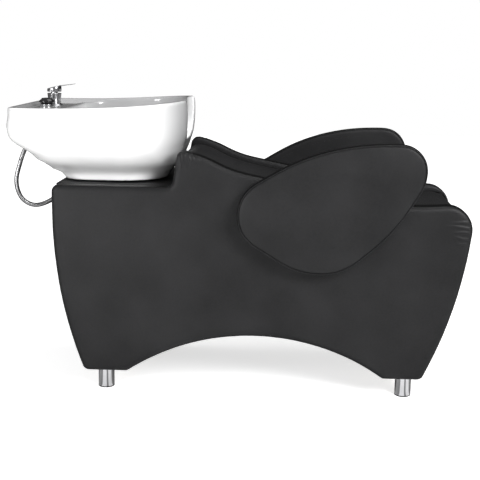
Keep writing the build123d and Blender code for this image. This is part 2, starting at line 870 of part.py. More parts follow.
for name, side in SIDES:
    with BuildPart() as arm_board:
        board_face = leaf_sketch(side_plane(side * arm_y), arm_board_share)
        extrude(board_face, amount=-side * arm_board_thickness)
        with BuildSketch(side_plane(side * arm_y)):
            with Locations(*arm_bolt_spots):
                Circle(arm_bolt_radius)
        extrude(amount=-side * arm_bolt_bite, mode=Mode.SUBTRACT)
    save(arm_board, "arm_board_" + name)

    with BuildPart() as arm_pad:
        sections = [
            leaf_sketch(side_plane(side * (arm_y + arm_thickness * depth_share)), size_share)
            for depth_share, size_share in arm_section_shares
        ]
        loft(sections)
        board_room = leaf_sketch(side_plane(side * arm_y), arm_board_share)
        extrude(board_room, amount=-side * arm_board_thickness, mode=Mode.SUBTRACT)
    save(arm_pad, "arm_pad_" + name)

with BuildPart() as arm_spacers:
    for side in (-1, 1):
        with BuildSketch(side_plane(side * spacer_start_y)):
            with Locations(*arm_bolt_spots):
                Circle(arm_spacer_radius)
                Circle(arm_bolt_radius + fit_clearance, mode=Mode.SUBTRACT)
        extrude(amount=-side * (arm_y - spacer_start_y))
save(arm_spacers, "arm_spacers")

with BuildPart() as arm_bolts:
    for side in (-1, 1):
        with BuildSketch(side_plane(side * bolt_head_y)):
            with Locations(*arm_bolt_spots):
                Circle(arm_bolt_head_radius)
        extrude(amount=-side * arm_bolt_head_height)
        with BuildSketch(side_plane(side * side_inner_half)):
            with Locations(*arm_bolt_spots):
                Circle(arm_bolt_radius)
        extrude(amount=-side * (bolt_end_y - side_inner_half))
save(arm_bolts, "arm_bolts")

# Basin: outer shell, bowl, deck behind it, neck notch and open underside
basin_half = basin_width / 2
bowl_half = bowl_width / 2
rim_height = basin_bottom + basin_wall_height
deck_bottom = deck_height - deck_thickness
basin_front_x = basin_rear_x + basin_length


def level_section(height, rear_end, front_end, half, rear_radius, front_radius):
    """Level face with a straight rear edge and a rounder front."""
    corners = ((front_end, -half), (front_end, half), (rear_end, half), (rear_end, -half))
    radii = (front_radius, front_radius, rear_radius, rear_radius)
    with BuildSketch(Plane.XY.offset(height)) as section:
        with BuildLine():
            FilletPolyline(*corners, radius=radii, close=True)
        make_face()
    return section.sketch


def level_sections(shares, start_x, length, half, bottom, depth, grown):
    """Level faces of a shell or a hollow, grown on all sides by a distance."""
    return [
        level_section(
            bottom + depth * up,
            start_x + length * rear - grown,
            start_x + length * front + grown,
            half * wide + grown,
            half * rear_corner + grown,
            half * front_corner + grown,
        )
        for up, rear, front, wide, rear_corner, front_corner in shares
    ]


outer_sizes = (basin_section_shares, basin_rear_x, basin_length, basin_half, basin_bottom, basin_wall_height)
bowl_sizes = (bowl_section_shares, bowl_rear_x, bowl_length, bowl_half)
bolt_spots = [Location((x, side * bracket_bolt_y)) for x in bracket_bolt_x for side in (-1, 1)]
with BuildPart() as under_void:
    loft(level_sections(*outer_sizes, -basin_skin))
    split(bisect_by=Plane.XY.offset(deck_bottom), keep=Keep.BOTTOM)
    split(bisect_by=Plane.YZ.offset(under_void_front_x), keep=Keep.BOTTOM)
    shell_bottom = bowl_floor_height - basin_skin
    loft(level_sections(*bowl_sizes, shell_bottom, bowl_depth + basin_skin, basin_skin), mode=Mode.SUBTRACT)

with BuildPart() as basin:
    loft(level_sections(*outer_sizes, 0))
    chamfer(basin.faces().sort_by(Axis.Z)[0].edges(), foot_chamfer)
    loft(level_sections(*bowl_sizes, bowl_floor_height, bowl_depth, 0), mode=Mode.SUBTRACT)
    with BuildSketch(Plane.XY.offset(deck_height)):
        deck_length = deck_front_x - basin_rear_x - deck_border
        with Locations((basin_rear_x + deck_border + deck_length / 2, 0)):
            RectangleRounded(deck_length, (bowl_half - deck_side_step) * 2, deck_corner_radius)
    extrude(amount=basin_wall_height, mode=Mode.SUBTRACT)
    with BuildSketch(side_plane(basin_width)):
        with BuildLine():
            rim_start = (basin_rear_x - overrun, rim_height + rim_rear_rise)
            rim_end = (basin_front_x + overrun, rim_height + rim_front_rise)
            ThreePointArc(rim_start, (rim_bend_x, rim_height + rim_mid_rise), rim_end)
            above = rim_height + basin_wall_height
            Polyline(rim_end, (rim_end[0], above), (rim_start[0], above), rim_start)
        make_face()
    extrude(amount=basin_width * 2, mode=Mode.SUBTRACT)
    with BuildSketch(Plane.YZ.offset(notch_start_x)):
        with BuildLine():
            notch_top = rim_height + rim_front_rise + overrun * 2
            notch_corners = (
                (-notch_top_half, notch_top),
                (-notch_bottom_half, notch_floor_height),
                (notch_bottom_half, notch_floor_height),
                (notch_top_half, notch_top),
            )
            FilletPolyline(*notch_corners, radius=notch_floor_radius)
            Line(notch_corners[0], notch_corners[-1])
        make_face()
    extrude(amount=basin_front_x + overrun - notch_start_x, mode=Mode.SUBTRACT)
    rim_face = basin.faces().filter_by(GeomType.CYLINDER).sort_by(SortBy.AREA)[-1]
    fillet(rim_face.edges(), radius=rim_edge_radius)
    add(under_void.part, mode=Mode.SUBTRACT)
    with BuildSketch(Plane.XY.offset(basin_bottom)):
        with Locations(*bolt_spots):
            Circle(boss_radius)
    extrude(amount=bowl_floor_rise - boss_floor_gap)
    with BuildSketch(Plane.XY.offset(basin_bottom)):
        with Locations(*bolt_spots):
            Circle(bracket_bolt_radius)
    extrude(amount=bracket_bolt_depth, mode=Mode.SUBTRACT)
    with BuildSketch(side_plane(under_opening_half)):
        with BuildLine():
            opening_rear_x = basin_rear_x - overrun
            Polyline(
                (opening_rear_x, basin_bottom),
                (opening_rear_x, basin_bottom + under_opening_rise),
                (under_opening_front_x, basin_bottom + under_opening_rise),
                (under_opening_front_x, basin_bottom),
                close=True,
            )
        make_face()
    extrude(amount=under_opening_half * 2, mode=Mode.SUBTRACT)
    with BuildSketch(Plane.XY.offset(bowl_floor_height - basin_skin - overrun)):
        with Locations((waste_x, 0)):
            Circle(waste_hole_radius)
    extrude(amount=basin_skin + overrun, mode=Mode.SUBTRACT)
    with BuildSketch(Plane.XY.offset(deck_bottom)):
        with Locations((mixer_x, mixer_y)):
            Circle(mixer_shank_radius + fit_clearance)
        with Locations((mixer_x, spray_y)):
            Circle(collar_sleeve_radius + fit_clearance)
    extrude(amount=deck_thickness, mode=Mode.SUBTRACT)
save(basin, "basin")

# Waste: flange with its threaded tail and pipe, a nut below the bowl, and a lift-out strainer
waste_spot = Location((waste_x, 0))
waste_bottom = bowl_floor_height - waste_pipe_length
waste_nut_top = bowl_floor_height - basin_skin
tail_outer = waste_hole_radius - fit_clearance
with BuildPart() as waste_fitting:
    with BuildSketch(Plane.XY.offset(waste_nut_top - waste_nut_height)):
        with Locations(waste_spot):
            Circle(tail_outer)
    extrude(amount=basin_skin + waste_nut_height)
    with BuildSketch(Plane.XY.offset(bowl_floor_height)):
        with Locations(waste_spot):
            Circle(waste_flange_radius)
    extrude(amount=waste_flange_thickness, taper=45)
    with BuildSketch(Plane.XY.offset(waste_bottom)):
        with Locations(waste_spot):
            Circle(waste_pipe_radius)
    extrude(amount=waste_pipe_length)
    with BuildSketch(Plane.XY.offset(waste_bottom)):
        with Locations(waste_spot):
            Circle(waste_pipe_radius - waste_pipe_wall)
    extrude(amount=waste_pipe_length + waste_flange_thickness, mode=Mode.SUBTRACT)
save(waste_fitting, "waste_fitting")

with BuildPart() as waste_nut:
    with BuildSketch(Plane.XY.offset(waste_nut_top - waste_nut_height)):
        with Locations(waste_spot):
            RegularPolygon(radius=waste_nut_radius, side_count=6)
            Circle(tail_outer, mode=Mode.SUBTRACT)
    extrude(amount=waste_nut_height)
save(waste_nut, "waste_nut")

strainer_top = bowl_floor_height + waste_flange_thickness
with BuildPart() as strainer:
    with BuildSketch(Plane.XY.offset(strainer_top - strainer_depth)):
        with Locations(waste_spot):
            Circle(strainer_radius)
    extrude(amount=strainer_depth)
    with BuildSketch(Plane.XY.offset(strainer_top + spray_rest_gap)):
        with Locations(waste_spot):
            Circle(strainer_radius + strainer_lip)
    extrude(amount=strainer_wall)
    with BuildSketch(Plane.XY.offset(strainer_top)):
        with Locations(waste_spot):
            Circle(strainer_radius)
    extrude(amount=strainer_wall)
    with BuildSketch(Plane.XY.offset(strainer_top - strainer_depth + strainer_wall)):
        with Locations(waste_spot):
            Circle(strainer_radius - strainer_wall)
    extrude(amount=strainer_depth, mode=Mode.SUBTRACT)
    with BuildSketch(Plane.XY.offset(strainer_top - strainer_depth)):
        with Locations(waste_spot):
            with PolarLocations(strainer_radius, strainer_slot_count):
                Rectangle(strainer_slot_height * 2, strainer_slot_width)
    extrude(amount=strainer_slot_height, mode=Mode.SUBTRACT)
    with BuildSketch(Plane.XY.offset(strainer_top - strainer_depth)):
        with Locations(waste_spot):
            Circle(strainer_post_radius)
    extrude(amount=strainer_post_height)
    fillet(strainer.edges().sort_by(Axis.Z)[-1], radius=strainer_wall)
save(strainer, "strainer")

# Tilt bracket: a lower plate on the shelf board and an upper plate under the basin, joined by pins
lower_plate_top = shelf_board_top + bracket_plate_thickness
lower_ear_inner = bracket_ear_inner + bracket_ear_thickness + washer_thickness + washer_gap * 2
bracket_sizes = (
    (
        "lower_bracket", shelf_board_top, lower_plate_rear_x, lower_plate_front_x, lower_plate_half,
        lower_ear_inner, pin_x - ear_foot_lead, pin_radius,
    ),
    (
        "upper_bracket", basin_bottom - bracket_plate_thickness, upper_plate_rear_x,
        upper_plate_front_x, bracket_ear_inner + bracket_ear_thickness, bracket_ear_inner,
        upper_plate_rear_x, pin_radius + pin_clearance,
    ),
)
for name, level, rear_end, front_end, half, ear_inner, ear_foot, hole_radius in bracket_sizes:
    with BuildPart() as bracket:
        with BuildSketch(Plane.XY.offset(level)):
            with Locations(((rear_end + front_end) / 2, 0)):
                Rectangle(front_end - rear_end, half * 2)
            with Locations(waste_spot):
                Circle(waste_way_radius, mode=Mode.SUBTRACT)
            if name == "lower_bracket":
                with Locations((hose_way_x, 0)):
                    way_length = hose_way_length + overrun * 2
                    RectangleRounded(way_length, hose_way_width, hose_way_length / 4, mode=Mode.SUBTRACT)
                with Locations(*bracket_screw_spots):
                    Circle(leg_screw_radius + fit_clearance, mode=Mode.SUBTRACT)
            else:
                with Locations(*bolt_spots):
                    Circle(bracket_bolt_radius + fit_clearance, mode=Mode.SUBTRACT)
        extrude(amount=bracket_plate_thickness)
        for side in (-1, 1):
            with BuildSketch(side_plane(side * ear_inner)):
                with Locations((pin_x, pin_height)):
                    Circle(bracket_ear_radius)
                foot_middle = (ear_foot + ear_foot_length / 2, level + bracket_plate_thickness / 2)
                with Locations(foot_middle):
                    Rectangle(ear_foot_length, bracket_plate_thickness)
                make_hull()
                with Locations((pin_x, pin_height)):
                    Circle(hole_radius, mode=Mode.SUBTRACT)
            extrude(amount=-side * bracket_ear_thickness)
    save(bracket, name)

with BuildPart() as bracket_screws:
    with BuildSketch(Plane.XY.offset(lower_plate_top)):
        with Locations(*bracket_screw_spots):
            Circle(leg_screw_head_radius)
    extrude(amount=leg_screw_head_height)
    with BuildSketch(Plane.XY.offset(shelf_board_top - leg_screw_depth)):
        with Locations(*bracket_screw_spots):
            Circle(leg_screw_radius)
    extrude(amount=leg_screw_depth + bracket_plate_thickness)
save(bracket_screws, "bracket_screws")

with BuildPart() as bracket_bolts:
    with BuildSketch(Plane.XY.offset(basin_bottom - bracket_plate_thickness)):
        with Locations(*bolt_spots):
            Circle(bracket_bolt_radius)
    extrude(amount=bracket_plate_thickness + bracket_bolt_depth)
    with BuildSketch(Plane.XY.offset(basin_bottom - bracket_plate_thickness)):
        with Locations(*bolt_spots):
            Circle(bracket_bolt_head_radius)
    extrude(amount=-bracket_bolt_head_height)
save(bracket_bolts, "bracket_bolts")

pin_outer_y = lower_ear_inner + bracket_ear_thickness
washer_inner_y = bracket_ear_inner + bracket_ear_thickness + washer_gap
pin_place = (pin_x, pin_height)
with BuildPart() as hinge_pins:
    for side in (-1, 1):
        with BuildSketch(side_plane(side * pin_inner_y)):
            with Locations(pin_place):
                Circle(pin_radius)
        extrude(amount=-side * (pin_outer_y - pin_inner_y))
        with BuildSketch(side_plane(side * pin_outer_y)):
            with Locations(pin_place):
                Circle(pin_head_radius)
        extrude(amount=-side * pin_head_thickness)
save(hinge_pins, "hinge_pins")

with BuildPart() as hinge_washers:
    for side in (-1, 1):
        with BuildSketch(side_plane(side * washer_inner_y)):
            with Locations(pin_place):
                Circle(washer_radius)
                Circle(pin_radius, mode=Mode.SUBTRACT)
        extrude(amount=-side * washer_thickness)
save(hinge_washers, "hinge_washers")

with BuildPart() as rest_buffers:
    with BuildSketch(Plane.XY.offset(lower_plate_top)):
        with Locations((buffer_x, -buffer_y), (buffer_x, buffer_y)):
            Circle(buffer_radius)
    buffer_room = basin_bottom - bracket_plate_thickness - lower_plate_top
    extrude(amount=buffer_room - buffer_gap)
save(rest_buffers, "rest_buffers")

# Mixer: body with its shank through the deck, nut, cartridge, and a handle that lifts on a pin
mixer_spot = Location((mixer_x, mixer_y))
with BuildPart() as mixer_body:
    with BuildSketch(Plane.XY.offset(deck_height)):
        with Locations(mixer_spot):
            Circle(mixer_body_radius)
    extrude(amount=mixer_body_top - deck_height)
    fillet(mixer_body.edges().sort_by(Axis.Z)[-1], radius=mixer_edge_radius)
    with BuildSketch(Plane.XY.offset(deck_height)):
        with Locations(mixer_spot):
            Circle(mixer_ring_radius)
    extrude(amount=mixer_ring_height, taper=30)
    with BuildSketch(Plane.XY.offset(deck_height - mixer_shank_drop)):
        with Locations(mixer_spot):
            Circle(mixer_shank_radius)
    extrude(amount=mixer_shank_drop)
    with BuildSketch(Plane.XY.offset(cartridge_bottom)):
        with Locations(mixer_spot):
            Circle(cartridge_radius + cartridge_clearance)
    extrude(amount=mixer_body_top - cartridge_bottom, mode=Mode.SUBTRACT)
save(mixer_body, "mixer_body")

with BuildPart() as mixer_nut:
    with BuildSketch(Plane.XY.offset(deck_bottom)):
        with Locations(mixer_spot):
            RegularPolygon(radius=mixer_nut_radius, side_count=6)
            Circle(mixer_shank_radius, mode=Mode.SUBTRACT)
    extrude(amount=-mixer_nut_height)
save(mixer_nut, "mixer_nut")

lever_pin_place = (mixer_x - lever_pin_setback, deck_height + lever_pin_rise)
with BuildPart() as mixer_cartridge:
    with BuildSketch(Plane.XY.offset(cartridge_bottom + cartridge_clearance)):
        with Locations(mixer_spot):
            Circle(cartridge_radius)
    extrude(amount=cartridge_top_rise - cartridge_bottom_rise - cartridge_clearance)
    with BuildSketch(side_plane(mixer_y + cap_radius)):
        with Locations(lever_pin_place):
            Circle(lever_pin_radius + lever_pin_clearance)
    extrude(amount=cap_radius * 2, mode=Mode.SUBTRACT)
save(mixer_cartridge, "mixer_cartridge")

cap_rise = (cap_front_top - cap_rear_top) / (cap_radius * 2)
lever_end_x = mixer_x + lever_reach
lever_root_x = mixer_x - cap_radius / 2
lever_root_top = cap_rear_top + cap_rise * cap_radius / 2
cap_front_x = mixer_x + cap_radius
with BuildPart() as mixer_handle:
    with BuildSketch(Plane.XY.offset(cap_bottom)):
        with Locations(mixer_spot):
            Circle(cap_radius)
    extrude(amount=cap_front_top - cap_bottom)
    with BuildSketch(side_plane(mixer_y + cap_radius + overrun)):
        with BuildLine():
            cap_slope_start = (mixer_x - cap_radius - overrun, cap_rear_top - cap_rise * overrun)
            cap_slope_end = (cap_front_x + overrun, cap_front_top + cap_rise * overrun)
            cap_above = cap_front_top + overrun * 2
            Polyline(
                cap_slope_start,
                cap_slope_end,
                (cap_slope_end[0], cap_above),
                (cap_slope_start[0], cap_above),
                close=True,
            )
        make_face()
    extrude(amount=(cap_radius + overrun) * 2, mode=Mode.SUBTRACT)
    fillet(mixer_handle.faces().sort_by(Axis.Z)[-1].edges(), radius=mixer_edge_radius)
    with BuildSketch(side_plane(mixer_y + lever_width / 2)):
        with BuildLine():
            Polyline(
                (lever_root_x, lever_root_top - lever_thickness / 2),
                (lever_root_x, lever_root_top),
                (cap_front_x, cap_front_top),
                (lever_end_x, lever_tip_height),
                (lever_end_x, lever_tip_height - lever_tip_thickness),
                (cap_front_x, cap_front_top - lever_thickness),
                close=True,
            )
        make_face()
    extrude(amount=lever_width)
    tip_edges = mixer_handle.edges().filter_by(Axis.Z).sort_by(Axis.X)[-2:]
    fillet(tip_edges, radius=lever_tip_radius)
    with BuildSketch(Plane.XY.offset(cap_bottom)):
        with Locations(mixer_spot):
            Rectangle(cap_pocket_length, (cartridge_radius + cap_cheek_gap) * 2)
    extrude(amount=cap_pocket_height, mode=Mode.SUBTRACT)
    with BuildSketch(side_plane(mixer_y + cap_radius)):
        with Locations(lever_pin_place):
            Circle(lever_pin_radius)
    extrude(amount=cap_radius * 2, mode=Mode.SUBTRACT)
save(mixer_handle, "mixer_handle")

with BuildPart() as handle_pin:
    with BuildSketch(side_plane(mixer_y + handle_pin_half)):
        with Locations(lever_pin_place):
            Circle(lever_pin_radius)
    extrude(amount=handle_pin_half * 2)
save(handle_pin, "handle_pin")

# Hand spray, standing in a collar through the deck
spray_spot = Location((mixer_x, spray_y))
collar_top = deck_height + collar_height
with BuildPart() as spray_collar:
    with BuildSketch(Plane.XY.offset(deck_height)):
        with Locations(spray_spot):
            Circle(collar_radius)
    extrude(amount=collar_height)
    fillet(spray_collar.edges().sort_by(Axis.Z)[-1], radius=mixer_edge_radius)
    with BuildSketch(Plane.XY.offset(deck_height - collar_sleeve_length)):
        with Locations(spray_spot):
            Circle(collar_sleeve_radius)
    extrude(amount=collar_sleeve_length)
    with BuildSketch(Plane.XY.offset(deck_height - collar_sleeve_length)):
        with Locations(spray_spot):
            Circle(collar_bore_radius)
    extrude(amount=collar_sleeve_length + collar_height, mode=Mode.SUBTRACT)
save(spray_collar, "spray_collar")

with BuildPart() as collar_nut:
    with BuildSketch(Plane.XY.offset(deck_bottom)):
        with Locations(spray_spot):
            RegularPolygon(radius=collar_nut_radius, side_count=6)
            Circle(collar_sleeve_radius, mode=Mode.SUBTRACT)
    extrude(amount=-collar_nut_height)
save(collar_nut, "collar_nut")

spray_axis = Axis((mixer_x, spray_y, 0), (0, 0, 1))
spray_rest = collar_top + spray_rest_gap
face_radius = spray_head_radius - spray_bell_lip
face_floor = spray_rim_height - spray_bell_depth
with BuildPart() as spray_head:
    with BuildSketch(Plane.XZ.offset(-spray_y)):
        with BuildLine():
            Polyline(
                (mixer_x, spray_grip_bottom),
                (mixer_x + spray_grip_radius, spray_grip_bottom),
                (mixer_x + spray_grip_radius, spray_rest),
                (mixer_x + spray_shoulder_radius, spray_rest),
                (mixer_x + spray_head_radius, face_floor),
                (mixer_x + spray_head_radius, spray_rim_height),
                (mixer_x + face_radius, spray_rim_height),
                (mixer_x + face_radius, face_floor),
                (mixer_x, face_floor),
                close=True,
            )
        make_face()
    revolve(axis=spray_axis)
save(spray_head, "spray_head")

with BuildPart() as spray_face:
    with BuildSketch(Plane.XZ.offset(-spray_y)):
        with BuildLine():
            Polyline(
                (mixer_x, spray_dome_height),
                (mixer_x, face_floor),
                (mixer_x + face_radius, face_floor),
                (mixer_x + face_radius, spray_rim_height),
            )
            face_shoulder = (mixer_x + nozzle_ring_radius, spray_dome_height - nozzle_height)
            ThreePointArc((mixer_x + face_radius, spray_rim_height), face_shoulder, (mixer_x, spray_dome_height))
        make_face()
    revolve(axis=spray_axis)
    with BuildSketch(Plane.XY.offset(spray_rim_height)):
        with Locations(spray_spot):
            with PolarLocations(nozzle_ring_radius, nozzle_count, start_angle=nozzle_turn):
                Circle(nozzle_radius)
    extrude(amount=spray_dome_height - spray_rim_height)
save(spray_face, "spray_face")

with BuildPart() as hose_nut:
    with BuildSketch(Plane.XY.offset(hose_nut_bottom)):
        with Locations(spray_spot):
            RegularPolygon(radius=hose_nut_radius, side_count=6)
    extrude(amount=hose_nut_height)
save(hose_nut, "hose_nut")


# Hoses along their routes, with the coupling, the unions and the ribbed drain hose
def save_hose(route, radius, label):
    """Sweep a round hose along a route and write it, with its radii and its volume's share."""
    path, radii = tube_line(route)
    with BuildPart() as hose:
        with BuildSketch(Plane(origin=path @ 0, z_dir=path % 0)):
            Circle(radius)
        sweep(path=path)
    share = hose.part.volume / (math.pi * radius * radius * path.length)
    print(label, "radii", [round(value) for value in radii], "volume share", f"{share:.3f}")
    save(hose, label)


save_hose(lifted(spray_riser_route), spray_hose_radius, "spray_hose_riser")
save_hose(loop_points, spray_hose_radius, "spray_hose_loop")
tail_points = {label: lifted(route) for label, route in tail_routes.items()}
for label, points in tail_points.items():
    save_hose(points, tail_radius, label)

coupling_place = tail_points["mixer_outlet_tail"][-1]
with BuildPart() as hose_coupling:
    with BuildSketch(Plane.XY.offset(coupling_place[2])):
        with Locations(coupling_place[:2]):
            Circle(coupling_radius)
    extrude(amount=loop_points[-1][2] - coupling_place[2])
    fillet(hose_coupling.edges(), radius=mixer_edge_radius)
save(hose_coupling, "hose_coupling")

union_places = [tail_points[name][-1] for name in ("supply_hose_cold", "supply_hose_hot")]
with BuildPart() as supply_unions:
    with BuildSketch(Plane.XY.offset(union_places[0][2])):
        with Locations(*[place[:2] for place in union_places]):
            RegularPolygon(radius=union_radius, side_count=6)
    extrude(amount=-union_length)
    with BuildSketch(Plane.XY.offset(union_places[0][2] - union_length)):
        with Locations(*[place[:2] for place in union_places]):
            Circle(union_bore_radius)
    extrude(amount=union_bore_depth, mode=Mode.SUBTRACT)
save(supply_unions, "supply_unions")

drain_top = waste_bottom + drain_cuff_overlap
ribbed_length = drain_top - drain_cuff_length - drain_hose_bottom - drain_end_length
rib_count = int(ribbed_length / drain_rib_pitch)
rib_outer = drain_outer_radius + drain_rib_height
drain_axis = Axis((waste_x, 0, 0), (0, 0, 1))
ribs_bottom = drain_top - drain_cuff_length - rib_count * drain_rib_pitch
with BuildPart() as drain_hose:
    with BuildSketch(Plane.XZ):
        with BuildLine():
            points = [(waste_x + waste_pipe_radius, drain_top), (waste_x + drain_cuff_radius, drain_top)]
            points.append((waste_x + drain_cuff_radius, drain_top - drain_cuff_length))
            for number in range(rib_count):
                rib_top = drain_top - drain_cuff_length - number * drain_rib_pitch
                points.append((waste_x + drain_outer_radius, rib_top - drain_rib_pitch / 4))
                points.append((waste_x + rib_outer, rib_top - drain_rib_pitch / 2))
            points.append((waste_x + drain_outer_radius, ribs_bottom))
            points.append((waste_x + drain_outer_radius, drain_hose_bottom))
            points.append((waste_x + waste_pipe_radius, drain_hose_bottom))
            Polyline(*points, close=True)
        make_face()
    revolve(axis=drain_axis)
save(drain_hose, "drain_hose")
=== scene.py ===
import math

import bmesh
import bpy
from mathutils import Matrix, Vector, kdtree, noise


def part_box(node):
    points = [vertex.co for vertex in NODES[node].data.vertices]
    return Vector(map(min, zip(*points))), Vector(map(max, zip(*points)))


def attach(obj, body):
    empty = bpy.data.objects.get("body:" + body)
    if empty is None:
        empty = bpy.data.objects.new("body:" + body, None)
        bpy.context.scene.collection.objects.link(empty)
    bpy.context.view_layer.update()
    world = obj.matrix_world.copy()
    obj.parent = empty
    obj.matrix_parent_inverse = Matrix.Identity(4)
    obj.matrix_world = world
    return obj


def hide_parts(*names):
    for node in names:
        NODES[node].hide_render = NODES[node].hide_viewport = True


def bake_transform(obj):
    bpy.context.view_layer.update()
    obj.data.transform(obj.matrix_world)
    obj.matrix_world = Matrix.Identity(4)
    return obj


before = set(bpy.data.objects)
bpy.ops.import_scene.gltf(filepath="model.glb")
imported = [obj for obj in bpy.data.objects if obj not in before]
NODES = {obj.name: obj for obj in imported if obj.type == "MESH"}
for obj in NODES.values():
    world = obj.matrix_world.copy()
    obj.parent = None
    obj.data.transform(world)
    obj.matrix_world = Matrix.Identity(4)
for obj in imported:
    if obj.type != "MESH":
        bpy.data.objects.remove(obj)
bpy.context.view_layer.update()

SCENE = bpy.context.scene
SIDES = ("right", "left")

# Sizes in metres that the pieces below share with the solids
side_inner_half = 0.205
arm_y = 0.2624
arm_thickness = 0.056
arm_left_x = -0.0035
arm_bottom = 0.401
arm_length = 0.555
arm_height = 0.392
mixer_x, mixer_y = -0.6235, 0.052
spray_hose_radius = 0.007
supply_hose_radius = 0.006
drain_cuff_length, drain_cuff_radius = 0.040, 0.025
drain_end_length, drain_end_radius = 0.030, 0.023
drain_rib_radius, drain_rib_pitch = 0.024, 0.008

# The photograph's camera: its picture and its focal length in pixels, its place in metres, its turns in radians
photo_width = 480
focal_length = 997.35
sensor_width = 36
camera_place = (0.1435, -3.2021, 1.0728)
camera_turns = (-0.0468125, 0.1947133, 0.0166748)


# ---------------------------------------------------------------- camera
def place_camera():
    """Camera at the photograph's viewing angle, for a square picture."""
    yaw, pitch, roll = camera_turns
    forward = Vector((math.sin(yaw) * math.cos(pitch), math.cos(yaw) * math.cos(pitch), -math.sin(pitch)))
    level = Vector((math.cos(yaw), -math.sin(yaw), 0))
    upright = level.cross(forward)
    right = math.cos(roll) * level + math.sin(roll) * upright
    up = math.cos(roll) * upright - math.sin(roll) * level
    camera = bpy.data.objects.new("camera", bpy.data.cameras.new("camera"))
    camera.data.sensor_width = sensor_width
    camera.data.lens = focal_length / photo_width * sensor_width
    camera.data.clip_start = 0.05
    camera.data.clip_end = 60
    camera.matrix_world = Matrix.Translation(camera_place) @ Matrix(
        (
            (right.x, up.x, -forward.x, 0),
            (right.y, up.y, -forward.y, 0),
            (right.z, up.z, -forward.z, 0),
            (0, 0, 0, 1),
        )
    )
    SCENE.collection.objects.link(camera)
    SCENE.camera = camera


# ---------------------------------------------------------------- materials
class Value:
    """One shader value that takes part in sums."""

    def __init__(self, tree, socket):
        self.tree = tree
        self.socket = socket

    def math(self, operation, *others, clamp=False):
        node = self.tree.nodes.new("ShaderNodeMath")
        node.operation = operation
        node.use_clamp = clamp
        for entry, value in zip(node.inputs, (self, *others)):
            if isinstance(value, Value):
                self.tree.links.new(value.socket, entry)
            else:
                entry.default_value = value
        return Value(self.tree, node.outputs[0])

    def __add__(self, other):
        return self.math("ADD", other)

    def __sub__(self, other):
        return self.math("SUBTRACT", other)

    def __mul__(self, other):
        return self.math("MULTIPLY", other)

    def span(self, low, high, out_low=0.0, out_high=1.0):
        """The value moved from one range to another, and held inside it."""
        node = self.tree.nodes.new("ShaderNodeMapRange")
        self.tree.links.new(self.socket, node.inputs["Value"])
        for name, value in (("From Min", low), ("From Max", high), ("To Min", out_low), ("To Max", out_high)):
            node.inputs[name].default_value = value
        return Value(self.tree, node.outputs[0])


class Finish:
    """One procedural material, built from object coordinates, a UV map or a stored attribute."""

    def __init__(self, name, **settings):
        self.material = bpy.data.materials.new(name)
        self.material.use_nodes = True
        self.tree = self.material.node_tree
        self.shader = self.tree.nodes["Principled BSDF"]
        self.where = self.tree.nodes.new("ShaderNodeTexCoord")
        for key, value in settings.items():
            socket = self.shader.inputs[key.replace("_", " ")]
            socket.default_value = (*value, 1.0) if isinstance(value, tuple) else value

    def place(self, stretch=(1, 1, 1)):
        """Object coordinates, stretched along each axis."""
        node = self.tree.nodes.new("ShaderNodeMapping")
        node.inputs["Scale"].default_value = stretch
        self.tree.links.new(self.where.outputs["Object"], node.inputs["Vector"])
        return node.outputs[0]

    def noise(self, scale, detail=3.0, stretch=(1, 1, 1)):
        node = self.tree.nodes.new("ShaderNodeTexNoise")
        node.inputs["Scale"].default_value = scale
        node.inputs["Detail"].default_value = detail
        self.tree.links.new(self.place(stretch), node.inputs["Vector"])
        return Value(self.tree, node.outputs["Fac"])

    def cells(self, scale, feature="DISTANCE_TO_EDGE"):
        node = self.tree.nodes.new("ShaderNodeTexVoronoi")
        node.feature = feature
        node.inputs["Scale"].default_value = scale
        self.tree.links.new(self.place(), node.inputs["Vector"])
        return Value(self.tree, node.outputs["Distance"])

    def axis(self, index, source="Object"):
        """One coordinate of the object's space or of the UV map."""
        node = self.tree.nodes.new("ShaderNodeSeparateXYZ")
        self.tree.links.new(self.where.outputs[source], node.inputs[0])
        return Value(self.tree, node.outputs[index])

    def stored(self, name):
        """A value that the mesh keeps as an attribute."""
        node = self.tree.nodes.new("ShaderNodeAttribute")
        node.attribute_name = name
        return Value(self.tree, node.outputs["Fac"])

    def mixed(self, factor, first, second):
        """A colour between two, by a value."""
        node = self.tree.nodes.new("ShaderNodeMix")
        node.data_type = "RGBA"
        self.tree.links.new(factor.socket, node.inputs[0])
        for entry, colour in ((node.inputs[6], first), (node.inputs[7], second)):
            if isinstance(colour, tuple):
                entry.default_value = (*colour, 1.0)
            else:
                self.tree.links.new(colour, entry)
        return node.outputs[2]

    def feed(self, name, socket):
        self.tree.links.new(socket.socket if isinstance(socket, Value) else socket, self.shader.inputs[name])

    def bump(self, height, depth, strength=1.0, under=None):
        node = self.tree.nodes.new("ShaderNodeBump")
        node.inputs["Distance"].default_value = depth
        node.inputs["Strength"].default_value = strength
        self.tree.links.new(height.socket, node.inputs["Height"])
        if under is not None:
            self.tree.links.new(under, node.inputs["Normal"])
        self.tree.links.new(node.outputs[0], self.shader.inputs["Normal"])
        return node.outputs[0]


